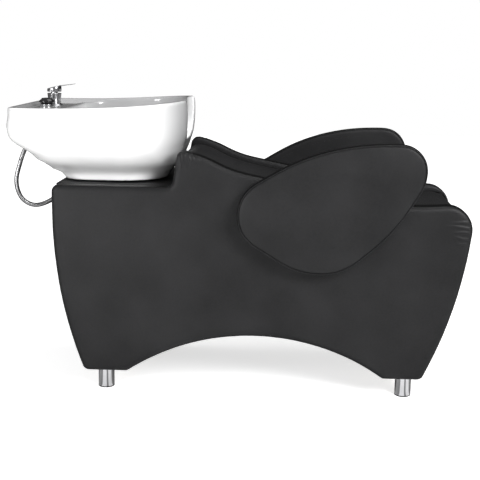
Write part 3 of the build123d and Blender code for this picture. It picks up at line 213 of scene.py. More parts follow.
def leather_finish():
    """Near-black leatherette: pebbled grain, soft creases and cloudy sheen, with painted shade where it turns over
    an edge.
    """
    made = Finish("leather", Specular_IOR_Level=0.13)
    cloud = made.noise(7.0, 4.0)
    fine = made.noise(160.0, 2.0)
    pebble = made.cells(640.0, "SMOOTH_F1")
    edge = made.cells(420.0)
    tone = (cloud * 0.7 + fine * 0.3).span(0.35, 0.65)
    face = made.mixed(tone, (0.0125, 0.0125, 0.0130), (0.0190, 0.0190, 0.0197))
    # Painted shade: the colour goes darker where the stored edge value marks a rounded edge
    made.feed("Base Color", made.mixed(made.stored("edge"), face, (0.002, 0.002, 0.0021)))
    made.feed("Roughness", (cloud * 0.5 + fine * 0.25 + pebble * 0.25).span(0.2, 0.7, 0.34, 0.43))
    low = made.bump(cloud, 0.004, 0.35)
    grain = edge.span(0.0, 0.12) * 0.7 + pebble * 0.3 + fine * 0.25
    made.bump(grain, 0.00022, 0.5, low)
    return made.material


def ceramic_finish():
    """White glaze over fired clay, a little uneven, and greyer with painted shade where the shade attribute says
    so.
    """
    made = Finish("ceramic", Specular_IOR_Level=0.5, Coat_Roughness=0.04)
    wavy = made.noise(9.0, 2.0)
    speck = made.noise(420.0, 2.0)
    glaze = made.mixed(wavy.span(0.3, 0.7), (0.84, 0.842, 0.845), (0.87, 0.87, 0.868))
    # Painted shade: the stored shade value turns the white glaze grey
    made.feed("Base Color", made.mixed(made.stored("shade"), glaze, (0.40, 0.40, 0.405)))
    made.feed("Roughness", speck.span(0.35, 0.7, 0.07, 0.12))
    made.feed("Coat Weight", wavy.span(0.3, 0.7, 0.35, 0.5))
    low = made.bump(wavy, 0.004, 0.12)
    made.bump(speck, 0.00008, 0.25, low)
    return made.material


def metal_finish(name, dark, light, rough_low, rough_high, depth=0.00003):
    """Metal whose tone, roughness and fine grain vary over the surface."""
    made = Finish(name, Metallic=1.0)
    patch = made.noise(26.0, 3.0)
    scratch = made.noise(1400.0, 3.0)
    made.feed("Base Color", made.mixed(patch.span(0.3, 0.7), dark, light))
    made.feed("Roughness", (patch * 0.5 + scratch * 0.5).span(0.3, 0.7, rough_low, rough_high))
    made.bump(scratch, depth, 0.4)
    return made.material


def plastic_finish(name, dark, light, rough_low, rough_high, grain=900.0):
    """Moulded plastic or rubber with a fine spark-eroded grain."""
    made = Finish(name, Specular_IOR_Level=0.5)
    patch = made.noise(18.0, 3.0)
    spark = made.noise(grain, 4.0)
    made.feed("Base Color", made.mixed(patch.span(0.3, 0.7), dark, light))
    made.feed("Roughness", (patch * 0.4 + spark * 0.6).span(0.3, 0.7, rough_low, rough_high))
    made.bump(spark, 0.0001, 0.4)
    return made.material


def wood_finish():
    """Plywood with grain along the length and a few darker streaks."""
    made = Finish("board", Specular_IOR_Level=0.3)
    grain = made.noise(60.0, 5.0, (0.12, 1, 1))
    pores = made.noise(700.0, 2.0, (0.06, 1, 1))
    made.feed("Base Color", made.mixed(grain.span(0.35, 0.7), (0.34, 0.27, 0.19), (0.48, 0.39, 0.28)))
    made.feed("Roughness", pores.span(0.3, 0.7, 0.55, 0.75))
    made.bump(grain * 0.6 + pores * 0.4, 0.0003, 0.5)
    return made.material


def wound_hose_finish():
    """Polished interlocked strip, wound round the hose, with painted shade in the grooves between its turns. The
    map runs round it and along it.
    """
    made = Finish("steel_hose", Metallic=1.0)
    turn = made.axis(0, "UV")
    along = made.axis(1, "UV")
    winding = (along + turn).math("FRACT")
    ridge = (winding - 0.5).math("ABSOLUTE").span(0.0, 0.5, 1.0, 0.0)
    # Painted shade: the colour goes dark in the grooves between the turns
    painted_groove_shade = ridge.span(0.0, 0.25)
    grime = made.noise(30.0, 3.0)
    made.feed("Base Color", made.mixed(painted_groove_shade, (0.07, 0.07, 0.073), (0.36, 0.36, 0.365)))
    made.feed("Roughness", grime.span(0.3, 0.7, 0.20, 0.32))
    made.bump(ridge.math("POWER", 0.5), 0.00025, 0.5)
    return made.material


def braid_finish():
    """Stainless braid: two sets of strands that cross round the hose."""
    made = Finish("braid", Metallic=1.0)
    turn = made.axis(0, "UV") * 12.0
    along = made.axis(1, "UV") * 0.9
    one = (along + turn).math("FRACT").math("PINGPONG", 0.5)
    two = (along - turn).math("FRACT").math("PINGPONG", 0.5)
    weave = one.math("MAXIMUM", two)
    made.feed("Base Color", made.mixed(weave.span(0.15, 0.4), (0.18, 0.18, 0.19), (0.62, 0.62, 0.64)))
    made.feed("Roughness", weave.span(0.0, 0.5, 0.42, 0.24))
    made.bump(weave, 0.0008, 0.7)
    return made.material


FINISHES = {
    "leather": leather_finish(),
    "ceramic": ceramic_finish(),
    "tap_chrome": metal_finish("tap_chrome", (0.34, 0.34, 0.35), (0.44, 0.44, 0.45), 0.18, 0.26, depth=0.00001),
    "chrome": metal_finish("chrome", (0.66, 0.66, 0.675), (0.76, 0.76, 0.775), 0.05, 0.10, depth=0.00001),
    "black_plastic": plastic_finish("black_plastic", (0.016, 0.016, 0.016), (0.028, 0.028, 0.028), 0.42, 0.6),
    "gloss_black": plastic_finish("gloss_black", (0.008, 0.008, 0.009), (0.013, 0.013, 0.014), 0.08, 0.18),
    "rubber": plastic_finish("rubber", (0.022, 0.022, 0.022), (0.034, 0.034, 0.034), 0.6, 0.8),
    "zinc": metal_finish("zinc", (0.42, 0.43, 0.46), (0.60, 0.60, 0.60), 0.28, 0.45),
    "bracket_paint": plastic_finish("bracket_paint", (0.022, 0.022, 0.023), (0.04, 0.04, 0.041), 0.35, 0.6, 700.0),
    "brass": metal_finish("brass", (0.62, 0.46, 0.2), (0.78, 0.62, 0.32), 0.2, 0.4),
    "steel_hose": wound_hose_finish(),
    "braid": braid_finish(),
    "grey_plastic": plastic_finish("grey_plastic", (0.36, 0.36, 0.37), (0.45, 0.45, 0.46), 0.4, 0.6),
    "board": wood_finish(),
}


# ---------------------------------------------------------------- mesh helpers
ONE_SUBDIVISION = ("SUBSURF", {"levels": 1, "render_levels": 1})


def clamped(value, low=0.0, high=1.0):
    return max(low, min(high, value))


def shade_smooth(mesh, smooth=True):
    mesh.polygons.foreach_set("use_smooth", [smooth] * len(mesh.polygons))


def with_normals(made):
    """The mesh's vertices, each with its normal as it is before any of them moves."""
    return [(vertex, vertex.normal.copy()) for vertex in made.data.vertices]


def store(made, name, values):
    """Keep one value for each vertex as an attribute, for the material to read."""
    made.data.attributes.new(name, "FLOAT", "POINT").data.foreach_set("value", values)


def ring_faces(rings, count):
    """Faces between rings of points that all have the same count."""
    faces = []
    for ring in range(rings - 1):
        low, high = ring * count, (ring + 1) * count
        for step in range(count):
            following = (step + 1) % count
            faces.append((low + step, low + following, high + following, high + step))
    return faces


def first_cap(count):
    return tuple(reversed(range(count)))


def last_cap(rings, count):
    return tuple(range((rings - 1) * count, rings * count))


def new_object(name, points, faces, finish, smooth=True):
    """Mesh object at the origin, with its finish."""
    mesh = bpy.data.meshes.new(name)
    mesh.from_pydata([tuple(point) for point in points], [], faces)
    mesh.update()
    made = bpy.data.objects.new(name, mesh)
    SCENE.collection.objects.link(made)
    mesh.materials.append(FINISHES[finish])
    shade_smooth(mesh, smooth)
    return made


def with_modifiers(made, *steps):
    """The object's mesh after its modifiers, each given as a type and its settings."""
    for kind, settings in steps:
        modifier = made.modifiers.new(kind, kind)
        for key, value in settings.items():
            setattr(modifier, key, value)
    graph = bpy.context.evaluated_depsgraph_get()
    mesh = bpy.data.meshes.new_from_object(made.evaluated_get(graph))
    made.modifiers.clear()
    old = made.data
    made.data = mesh
    bpy.data.meshes.remove(old)
    shade_smooth(mesh)
    return made


def remeshed(name, source, finish, voxel, smoothing, shrink=0.0):
    """Even-meshed copy of a CAD node or a rough piece, softened, and drawn in a little."""
    mesh = source.data.copy()
    mesh.materials.clear()
    mesh.materials.append(FINISHES[finish])
    made = bpy.data.objects.new(name, mesh)
    SCENE.collection.objects.link(made)
    weld = ("WELD", {"merge_threshold": 0.00002})
    grid = ("REMESH", {"mode": "VOXEL", "voxel_size": voxel, "use_smooth_shade": True})
    with_modifiers(made, weld, grid, ("SMOOTH", {"factor": 0.5, "iterations": smoothing}))
    if not made.data.materials:
        made.data.materials.append(FINISHES[finish])
    if shrink:
        for vertex, normal in with_normals(made):
            vertex.co -= normal * shrink
    return made


def inflate(made, held, pressure, cap, frames=20):
    """Swell a padded piece by cloth simulation, with some points held and none moved past the cap."""
    rest = [vertex.co.copy() for vertex in made.data.vertices]
    group = made.vertex_groups.new(name="held")
    group.add(held, 1.0, "REPLACE")
    cloth = made.modifiers.new("Cloth", "CLOTH")
    settings = cloth.settings
    settings.quality = 4
    settings.mass = 0.3
    settings.tension_stiffness = 15
    settings.compression_stiffness = 15
    settings.shear_stiffness = 5
    settings.bending_stiffness = 0.6
    settings.use_pressure = True
    settings.uniform_pressure_force = pressure
    settings.effector_weights.gravity = 0
    settings.vertex_group_mass = "held"
    cloth.collision_settings.use_collision = False
    cloth.point_cache.frame_start = 1
    cloth.point_cache.frame_end = frames
    for number in range(1, frames + 1):
        SCENE.frame_set(number)
    graph = bpy.context.evaluated_depsgraph_get()
    swollen = made.evaluated_get(graph).data
    moved = [vertex.co.copy() for vertex in swollen.vertices]
    made.modifiers.clear()
    made.vertex_groups.clear()
    SCENE.frame_set(1)
    for vertex, start, end in zip(made.data.vertices, rest, moved):
        step = end - start
        if step.length > cap:
            step *= cap / step.length
        vertex.co = start + step
    made.data.update()
    return made


def mirrored(made, name):
    """The same piece on the other side, with its faces turned the right way round."""
    mesh = made.data.copy()
    twin = bpy.data.objects.new(name, mesh)
    SCENE.collection.objects.link(twin)
    mesh.transform(Matrix.Scale(-1, 4, (0, 1, 0)))
    mesh.flip_normals()
    return twin


def rounded(corners, shares, steps):
    """Closed outline whose corners are arcs that take a share of the shorter side beside them."""
    points = []
    count = len(corners)
    for number in range(count):
        corner = Vector(corners[number])
        before = Vector(corners[number - 1]) - corner
        after = Vector(corners[(number + 1) % count]) - corner
        trim = shares[number] * min(before.length, after.length)
        before.normalize()
        after.normalize()
        start = corner + before * trim
        end = corner + after * trim
        half = before.angle(after) / 2
        centre = corner + (before + after).normalized() * (trim / math.cos(half))
        first = start - centre
        turn = (end - centre).angle(first)
        sign = 1 if first.cross(end - centre) > 0 else -1
        for step in range(steps + 1):
            cosine, sine = math.cos(sign * turn * step / steps), math.sin(sign * turn * step / steps)
            points.append(centre + Vector((first.x * cosine - first.y * sine, first.x * sine + first.y * cosine)))
    return points


def evenly(points, pitch, closed=True):
    """Points at an even pitch along a line."""
    line = list(points) + ([points[0]] if closed else [])
    total = sum((b - a).length for a, b in zip(line, line[1:]))
    count = max(3, round(total / pitch))
    wanted = [total * number / count for number in range(count + (0 if closed else 1))]
    result = []
    run = 0.0
    index = 0
    for place in wanted:
        while index < len(line) - 2 and run + (line[index + 1] - line[index]).length < place:
            run += (line[index + 1] - line[index]).length
            index += 1
        length = (line[index + 1] - line[index]).length
        share = 0 if length == 0 else min(1.0, (place - run) / length)
        result.append(line[index].lerp(line[index + 1], share))
    return result


def tube(name, line, radius, finish, sides, closed=False, pitch=0.003, shape=None):
    """Round tube along a line. Its UV map runs round it and, in pitches, along it.

    shape gives the radius at a length along the way.
    """
    count = len(line)
    tangents = []
    for number in range(count):
        if closed:
            tangent = line[(number + 1) % count] - line[number - 1]
        else:
            tangent = line[min(number + 1, count - 1)] - line[max(number - 1, 0)]
        tangents.append(tangent.normalized())
    side = tangents[0].orthogonal().normalized()
    points, lengths = [], [0.0]
    for number in range(count):
        tangent = tangents[number]
        side = (side - tangent * side.dot(tangent)).normalized()
        other = tangent.cross(side)
        size = radius if shape is None else shape(lengths[-1])
        for step in range(sides):
            angle = 2 * math.pi * step / sides
            points.append(line[number] + (side * math.cos(angle) + other * math.sin(angle)) * size)
        lengths.append(lengths[-1] + (line[(number + 1) % count] - line[number]).length)
    faces, maps = [], []
    for number in range(count if closed else count - 1):
        start, end = number * sides, ((number + 1) % count) * sides
        for step in range(sides):
            following = (step + 1) % sides
            faces.append((start + step, start + following, end + following, end + step))
            left, right = step / sides, (step + 1) / sides
            low, high = lengths[number] / pitch, lengths[number + 1] / pitch
            maps.append(((left, low), (right, low), (right, high), (left, high)))
    if not closed:
        faces += [first_cap(sides), last_cap(count, sides)]
        maps.extend([((0.0, 0.0),) * sides, ((0.0, 0.0),) * sides])
    made = new_object(name, points, faces, finish)
    layer = made.data.uv_layers.new(name="UVMap")
    layer.data.foreach_set("uv", [value for face in maps for place in face for value in place])
    return made


def smooth_route(places):
    """The line of a NURBS spline whose control points are the route's points."""
    curve = bpy.data.curves.new("route", "CURVE")
    curve.dimensions = "3D"
    curve.resolution_u = 16
    spline = curve.splines.new("NURBS")
    spline.points.add(len(places) - 1)
    for point, place in zip(spline.points, places):
        point.co = (*place, 1.0)
    spline.order_u = 3
    spline.use_endpoint_u = True
    holder = bpy.data.objects.new("route", curve)
    SCENE.collection.objects.link(holder)
    mesh = bpy.data.meshes.new_from_object(holder)
    line = [vertex.co.copy() for vertex in mesh.vertices]
    bpy.data.objects.remove(holder)
    bpy.data.curves.remove(curve)
    bpy.data.meshes.remove(mesh)
    return line


# ---------------------------------------------------------------- cords and hoses
HOSES = {
    "spray_hose_riser": (
        (-0.6235, -0.0520, 0.8240), (-0.6235, -0.0520, 0.7900), (-0.6424, -0.0631, 0.7640),
        (-0.6712, -0.0801, 0.7581), (-0.6901, -0.0912, 0.7321), (-0.6995, -0.0957, 0.7000),
    ),
    "spray_hose_loop": (
        (-0.6995, -0.0957, 0.6999), (-0.7074, -0.0995, 0.6730), (-0.7155, -0.1020, 0.6410),
        (-0.7125, -0.1010, 0.6040), (-0.6975, -0.0940, 0.5700), (-0.6635, -0.0825, 0.5510),
        (-0.6265, -0.0720, 0.5605), (-0.5975, -0.0645, 0.5800), (-0.5335, -0.0500, 0.6070),
        (-0.4885, -0.0400, 0.6080), (-0.4515, -0.0330, 0.5700), (-0.4515, -0.0330, 0.5300),
    ),
    "supply_hose_cold": (
        (-0.6155, 0.0600, 0.8280), (-0.6155, 0.0600, 0.7750), (-0.5855, 0.0520, 0.7270),
        (-0.5325, 0.0440, 0.6900), (-0.5155, 0.0380, 0.6300), (-0.4975, 0.0440, 0.5200),
        (-0.4855, 0.0540, 0.4000), (-0.4735, 0.0600, 0.2800), (-0.4300, 0.0840, 0.1950),
        (-0.4300, 0.0840, 0.1500),
    ),
    "supply_hose_hot": (
        (-0.6315, 0.0600, 0.8280), (-0.6315, 0.0600, 0.7880), (-0.6005, 0.0280, 0.7410),
        (-0.5435, 0.0140, 0.7020), (-0.5165, 0.0080, 0.6400), (-0.5055, 0.0160, 0.5350),
        (-0.4905, 0.0260, 0.4200), (-0.4755, 0.0300, 0.2900), (-0.4300, 0.0500, 0.1950),
        (-0.4300, 0.0500, 0.1500),
    ),
    "mixer_outlet_tail": (
        (-0.6235, 0.0440, 0.8280), (-0.6235, 0.0440, 0.7860), (-0.5955, 0.0060, 0.7380),
        (-0.5405, -0.0160, 0.6980), (-0.5165, -0.0220, 0.6360), (-0.5325, -0.0240, 0.5650),
        (-0.5355, -0.0255, 0.5050), (-0.5355, -0.0275, 0.4550), (-0.5109, -0.0290, 0.4304),
        (-0.4761, -0.0310, 0.4304), (-0.4515, -0.0330, 0.4550), (-0.4515, -0.0330, 0.4920),
    ),
}


def make_hoses():
    """Hoses as tubes along their routes, in place of their nodes."""
    for node, places in HOSES.items():
        is_spray = node.startswith("spray")
        radius = spray_hose_radius if is_spray else supply_hose_radius
        finish = "steel_hose" if is_spray else "braid"
        line = smooth_route(places)
        made = tube(node + "_tube", evenly(line, 0.003, closed=False), radius, finish, 24, pitch=0.0028)
        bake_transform(made)
        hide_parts(node)
        radius * 2


def make_drain_hose():
    """Ribbed drain hose: a plain cuff, rounded ribs and a plain end."""
    low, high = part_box("drain_hose")
    x = (low[0] + high[0]) / 2
    length = high[2] - low[2]

    def profile(height):
        """Outer radius at a height above the hose's lower end."""
        if height > length - drain_cuff_length:
            return drain_cuff_radius
        if height < drain_end_length:
            return drain_end_radius
        turn = 2 * math.pi * (height - drain_end_length) / drain_rib_pitch
        return drain_rib_radius - 0.0012 * math.cos(turn)

    count = round(length / 0.001)
    line = [Vector((x, 0, low[2] + length * number / count)) for number in range(count + 1)]
    made = tube("drain_hose_ribbed", line, drain_rib_radius, "grey_plastic", 32, shape=profile)
    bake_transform(made)
    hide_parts("drain_hose")


# ---------------------------------------------------------------- padded pieces
def refined(made, areas):
    """Finer mesh inside the areas, each a lowest and a highest corner."""
    work = bmesh.new()
    work.from_mesh(made.data)
    for low, high, cuts in areas:
        edges = [
            edge
            for edge in work.edges
            if all(low[i] < (edge.verts[0].co[i] + edge.verts[1].co[i]) / 2 < high[i] for i in range(3))
        ]
        bmesh.ops.subdivide_edges(work, edges=edges, cuts=cuts, use_grid_fill=True, smooth=0.0)
    work.to_mesh(made.data)
    work.free()
    shade_smooth(made.data)
    return made


def fold_height(place, folds):
    """Height of the folds at a place in the side plane. A fold is a start, an end, a width and a height."""
    total = 0.0
    for start, end, width, height in folds:
        run = Vector(end) - Vector(start)
        length = run.length
        run /= length
        off = place - Vector(start)
        along = off.dot(run) / length
        if not -0.3 < along < 1.3:
            continue
        across = off.x * run.y - off.y * run.x
        across += 0.0015 * math.sin(along * 5 + length * 900)
        fade = max(0.0, 1 - ((along - 0.5) / 0.8) ** 2) ** 2
        total += height * fade * math.exp(-((across / width) ** 2))
    return total


def cloudy(place, size):
    """Slow unevenness of stretched leather over foam, from -1 to 1."""
    return noise.noise(place * (1 / size)) * 0.7 + noise.noise(place * (2.3 / size)) * 0.3


def make_side_panels():
    """Side panels: leather drawn over foam, with puckers at the head corner and the front edge."""
    made = remeshed("side_panel_right_leather", NODES["side_panel_right"], "leather", 0.0055, 5)
    areas = (
        ((-0.22, -0.30, 0.68), (-0.10, -0.235, 0.775), 2),
        ((0.60, -0.30, 0.46), (0.72, -0.225, 0.60), 1),
    )
    refined(made, areas)
    for vertex, normal in with_normals(made):
        if abs(vertex.co.y) < side_inner_half + 0.004 or normal.y > 0.3:
            continue
        depth = 0.0009 * cloudy(vertex.co, 0.16) - 0.0006
        depth += fold_height(Vector((vertex.co.x, vertex.co.z)), PANEL_FOLDS) * max(0.0, -normal.y) ** 0.5
        vertex.co += normal * depth
    made.data.update()
    return made, mirrored(made, "side_panel_left_leather")


# Puckers of the side panel: start and end in the side plane, width and height
PANEL_FOLDS = (
    ((-0.194, 0.744), (-0.199, 0.702), 0.0022, 0.0026),
    ((-0.184, 0.751), (-0.188, 0.700), 0.0024, 0.0034),
    ((-0.174, 0.755), (-0.174, 0.708), 0.0022, 0.0032),
    ((-0.164, 0.757), (-0.160, 0.713), 0.0024, 0.0034),
    ((-0.154, 0.757), (-0.145, 0.719), 0.0022, 0.0030),
    ((-0.144, 0.756), (-0.132, 0.723), 0.0024, 0.0026),
    ((-0.134, 0.753), (-0.119, 0.727), 0.0022, 0.0018),
    ((0.640, 0.562), (0.694, 0.560), 0.0034, 0.0024),
    ((0.632, 0.549), (0.695, 0.545), 0.0036, 0.0028),
    ((0.645, 0.533), (0.692, 0.529), 0.0034, 0.0024),
    ((0.640, 0.517), (0.690, 0.511), 0.0038, 0.0020),
    ((0.650, 0.499), (0.688, 0.494), 0.0040, 0.0014),
)

# Corners of the arm pad's outline as shares of its length and height, and how far each is rounded
ARM_SHARES = (
    (0.0, 0.283), (0.328, 0.0), (0.566, 0.0), (0.845, 0.342), (1.0, 0.717),
    (1.0, 1.0), (0.654, 1.0), (0.333, 0.885), (0.0, 0.6),
)
ARM_TRIMS = (0.485, 0.49, 0.49, 0.54, 0.30, 0.70, 0.48, 0.50, 0.50)


def leaf(pitch):
    """Outline of the arm pad in the side plane."""
    corners = [(arm_left_x + arm_length * across, arm_bottom + arm_height * up) for across, up in ARM_SHARES]
    return evenly([Vector((*point, 0)) for point in rounded(corners, ARM_TRIMS, 12)], pitch)


def make_arm_pads():
    """Arm pads: a face, a gusset and a back, joined by seams that stay drawn in when the foam swells."""
    rings = (
        (0.004, 0.0), (0.30, 0.0), (0.60, 0.0), (0.85, 0.0), (0.965, 0.0), (0.988, 0.05), (0.996, 0.16),
        (0.998, 0.35), (0.998, 0.6), (0.996, 0.84), (0.985, 0.95), (0.962, 1.0), (0.85, 1.0),
        (0.60, 1.0), (0.30, 1.0), (0.004, 1.0),
    )
    outline = leaf(0.006)
    middle = Vector((arm_left_x + arm_length / 2, arm_bottom + arm_height / 2, 0))
    points = []
    for share, depth in rings:
        y = -(arm_y + 0.0004 + (arm_thickness - 0.0024) * depth)
        for point in outline:
            flat = middle + (point - middle) * share
            points.append((flat.x, y, flat.y))
    count = len(outline)
    faces = ring_faces(len(rings), count) + [first_cap(count), last_cap(len(rings), count)]
    rough = new_object("rough_pad", points, faces, "leather")
    made = remeshed("arm_pad_right_leather", rough, "leather", 0.0055, 2)
    bpy.data.objects.remove(rough)
    seam_face = -(arm_y + arm_thickness - 0.004)
    seam_back = -(arm_y + 0.005)
    seams = []
    for share, y in ((0.984, seam_face), (0.982, seam_back)):
        drawn_in = [middle + (point - middle) * share for point in leaf(0.003)]
        seams.append([Vector((place.x, y, place.y)) for place in drawn_in])
    tree = kdtree.KDTree(sum(len(seam) for seam in seams))
    for number, place in enumerate([place for seam in seams for place in seam]):
        tree.insert(place, number)
    tree.balance()
    held = [v.index for v in made.data.vertices if tree.find(v.co)[2] < 0.006 or v.co.y > -(arm_y + 0.004)]
    inflate(made, held, 6.0, 0.009)
    with_modifiers(made, ONE_SUBDIVISION)
    for vertex, normal in with_normals(made):
        gap = tree.find(vertex.co)[2]
        depth = -0.0016 * math.exp(-((gap / 0.0028) ** 2))
        if vertex.co.y < -(arm_y + 0.004):
            depth += 0.0006 * cloudy(vertex.co + Vector((3, 1, 2)), 0.11)
        vertex.co += normal * depth
        vertex.co.y = clamped(vertex.co.y, -(arm_y + arm_thickness + 0.0038), -(arm_y + 0.0002))
    made.data.update()
    welts = [tube("welt", seam, 0.0015, "leather", 8, closed=True) for seam in seams]
    join(made, welts)
    return made, mirrored(made, "arm_pad_left_leather")


def outward(made):
    """Turn the faces of a piece's shells outward."""
    work = bmesh.new()
    work.from_mesh(made.data)
    bmesh.ops.recalc_face_normals(work, faces=work.faces)
    work.to_mesh(made.data)
    work.free()
    return made


def join(made, others):
    """Join pieces into one object."""
    chosen = [made, *others]
    with bpy.context.temp_override(active_object=made, selected_editable_objects=chosen, selected_objects=chosen):
        bpy.ops.object.join()
    return made


def make_cushion():
    """Cushion between the sides: crowned, soft at its edges and flat where it rests on its boards."""
    made = remeshed("center_cushion_leather", NODES["center_cushion"], "leather", 0.0075, 2, 0.0012)
    under = []
    for vertex in made.data.vertices:
        x, normal = vertex.co.x, vertex.normal
        rests = normal.z < -0.4 or (x > 0.45 and normal.x < -0.3) or (x < -0.05 and normal.x > 0.75)
        if rests or abs(normal.y) > 0.8:
            under.append(vertex.index)
    inflate(made, under, 4.0, 0.010)
    with_modifiers(made, ONE_SUBDIVISION)
    limit = side_inner_half - 0.0006
    for vertex, normal in with_normals(made):
        if normal.z > 0 or vertex.co.x > 0.6:
            vertex.co += normal * (0.0011 * cloudy(vertex.co, 0.12) - 0.0005)
        vertex.co.y = clamped(vertex.co.y, -limit, limit)
    made.data.update()
    return made


def make_plain_pad(node, voxel, shrink):
    """Thin padding whose face is a little uneven and whose back stays on its board."""
    made = remeshed(node + "_leather", NODES[node], "leather", voxel, 2, shrink)
    for vertex, normal in with_normals(made):
        vertex.co += normal * (0.0004 * cloudy(vertex.co, 0.10) - 0.0003)
    made.data.update()
    return made


def finish_padded(made, node):
    """A padded piece put in place of its node; where it has two flat faces, its outer edges are marked for painted
    shade.
    """
    if node.startswith(("side_panel", "arm_pad")):
        # Painted shade: the edge value grows where the surface turns away from the sides, over the rounded edges
        store(made, "edge", [clamped((0.78 - abs(vertex.normal.y)) / 0.45) for vertex in made.data.vertices])
    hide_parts(node)
    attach(made, "frame")


# ---------------------------------------------------------------- basin
# Height, and how much fuller the basin's lower wall is there than the solid's
REAR_FULLNESS = (
    (0.655, 0.0), (0.668, 0.012), (0.680, 0.034), (0.700, 0.029), (0.716, 0.025), (0.733, 0.011),
    (0.750, 0.004), (0.780, 0.004), (0.800, 0.0),
)
FRONT_FULLNESS = ((0.650, 0.003), (0.662, 0.008), (0.680, 0.014), (0.700, 0.014), (0.730, 0.006), (0.760, 0.0))


def looked_up(table, value):
    """Value of a table of heights and sizes, straight between its entries."""
    for (low, first), (high, second) in zip(table, table[1:]):
        if low <= value <= high:
            return first + (second - first) * (value - low) / (high - low)
    return 0.0


def eased(value, start, end):
    """Soft step from 0 to 1 between two places."""
    share = clamped((value - start) / (end - start))
    return share * share * (3 - 2 * share)


def make_basin():
    """Glazed basin: the solid's shape with softened edges, a fuller lower wall, and painted shade that greys its
    inside and front.
    """
    made = remeshed("basin_glazed", NODES["basin"], "ceramic", 0.0048, 4)
    for vertex in made.data.vertices:
        height = vertex.co.z
        vertex.co.x += looked_up(FRONT_FULLNESS, height) * eased(vertex.co.x, -0.31, -0.24)
        vertex.co.x -= looked_up(REAR_FULLNESS, height) * eased(vertex.co.x, -0.50, -0.56)
    made.data.update()
    # Painted shade: the upper inward- and upward-facing surfaces and the right-facing side of the front are greyed
    # in colour
    middle = Vector((-0.43, 0, 0))
    shade = []
    for vertex in made.data.vertices:
        out = (vertex.co - middle) * Vector((1, 1, 0))
        inward = -vertex.normal.dot(out.normalized())
        above = clamped((vertex.co.z - 0.80) / 0.04)
        inside = above * clamped(0.5 * vertex.normal.z + 1.1 * inward)
        ahead = clamped((vertex.co.x + 0.33) / 0.14) * clamped(vertex.normal.x * 1.3 - 0.2)
        shade.append(max(inside, 0.85 * ahead))
    store(made, "shade", shade)
    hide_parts("basin")
    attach(made, "basin")


# ---------------------------------------------------------------- mixer
def make_mixer_body():
    """Mixer body: the solid with its side flared a little towards the cap."""
    axis = Vector((mixer_x, mixer_y, 0))
    mesh = NODES["mixer_body"].data.copy()
    mesh.materials.clear()
    mesh.materials.append(FINISHES["tap_chrome"])
    made = bpy.data.objects.new("mixer_body_polished", mesh)
    SCENE.collection.objects.link(made)
    for vertex in mesh.vertices:
        off = (vertex.co - axis) * Vector((1, 1, 0))
        if vertex.co.z > 0.8705 and off.length > 0.0178:
            vertex.co += off * (0.2 * (vertex.co.z - 0.866) / 0.0375 - 0.09)
    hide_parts("mixer_body")
    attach(made, "basin")


def make_handle():
    """Mixer handle: a slanted cap, hollow below, whose top runs on into a thin lever."""
    x, y = mixer_x, mixer_y
    bottom, rear_top, front_top = 0.9085, 0.918, 0.930
    radius, sides = 0.023, 48
    rings = (
        (0.0172, 0.0, 0.0065), (0.0172, 0.0, 0.0), (0.0222, 0.0, 0.0), (0.0229, 0.10, 0.0), (0.0230, 0.5, 0.0),
        (0.0228, 0.86, 0.0), (0.0222, 0.95, 0.0), (0.0210, 1.0, 0.0), (0.0150, 1.0, 0.0003), (0.0004, 1.0, 0.0005),
    )
    points = []
    for size, share, lift in rings:
        for step in range(sides):
            angle = 2 * math.pi * step / sides
            along = size * math.cos(angle)
            top = rear_top + (front_top - rear_top) * (along + radius) / (radius * 2)
            points.append((x + along, y + size * math.sin(angle), bottom + (top - bottom) * share + lift))
    faces = ring_faces(len(rings), sides) + [last_cap(len(rings), sides)]
    made = new_object("mixer_handle_polished", points, faces, "tap_chrome")

    stations = (
        (-0.006, 0.0060, 0.9205, 0.0030), (0.004, 0.0068, 0.9233, 0.0032), (0.014, 0.0072, 0.9258, 0.0032),
        (0.023, 0.0074, 0.9279, 0.0030), (0.038, 0.0072, 0.9298, 0.0024), (0.054, 0.0070, 0.9320, 0.0019),
        (0.064, 0.0066, 0.9336, 0.0017), (0.0685, 0.0052, 0.9343, 0.0014), (0.0698, 0.0026, 0.9345, 0.0008),
    )
    bar_points = []
    for along, half, middle, thick in stations:
        for step in range(sides):
            angle = 2 * math.pi * step / sides
            across = math.copysign(abs(math.cos(angle)) ** 0.45, math.cos(angle)) * half
            up = math.copysign(abs(math.sin(angle)) ** 0.7, math.sin(angle)) * thick * 0.5
            bar_points.append((x + along, y + across, middle + up))
    bar_faces = ring_faces(len(stations), sides) + [first_cap(sides), last_cap(len(stations), sides)]
    bar = new_object("lever", bar_points, bar_faces, "tap_chrome")
    with_modifiers(bar, ONE_SUBDIVISION)
    join(made, [bar])
    outward(made)
    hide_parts("mixer_handle")
    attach(made, "mixer_handle")


# ---------------------------------------------------------------- CAD nodes that stay
# The start of each node's name, under its finish
NODE_FINISHES = {
    "board": (
        "shelf_board", "head_board", "back_board", "seat_board", "front_seat_board", "front_rail",
        "rear_bottom_board", "front_bottom_board", "front_board",
    ),
    "leather": ("arm_board", "side_board"),
    "chrome": ("leg_rear", "leg_front", "waste_fitting", "strainer"),
    "tap_chrome": ("handle_pin", "spray_collar", "hose_nut", "mixer_cartridge"),
    "zinc": (
        "board_screws", "leg_screws", "arm_bolts", "bracket_screws", "bracket_bolts", "hinge_pins", "arm_spacers",
    ),
    "black_plastic": ("hose_grommet", "hinge_washers", "waste_nut", "collar_nut"),
    "rubber": ("rest_buffers",),
    "bracket_paint": ("lower_bracket", "upper_bracket"),
    "gloss_black": ("spray_head", "spray_face", "leg_glides"),
    "brass": ("mixer_nut", "hose_coupling", "supply_unions"),
}


def dress_nodes():
    """Better materials for the CAD nodes that stay."""
    for finish, starts in NODE_FINISHES.items():
        for name, node in NODES.items():
            if name.startswith(starts):
                for entry in node.material_slots:
                    entry.material = FINISHES[finish]


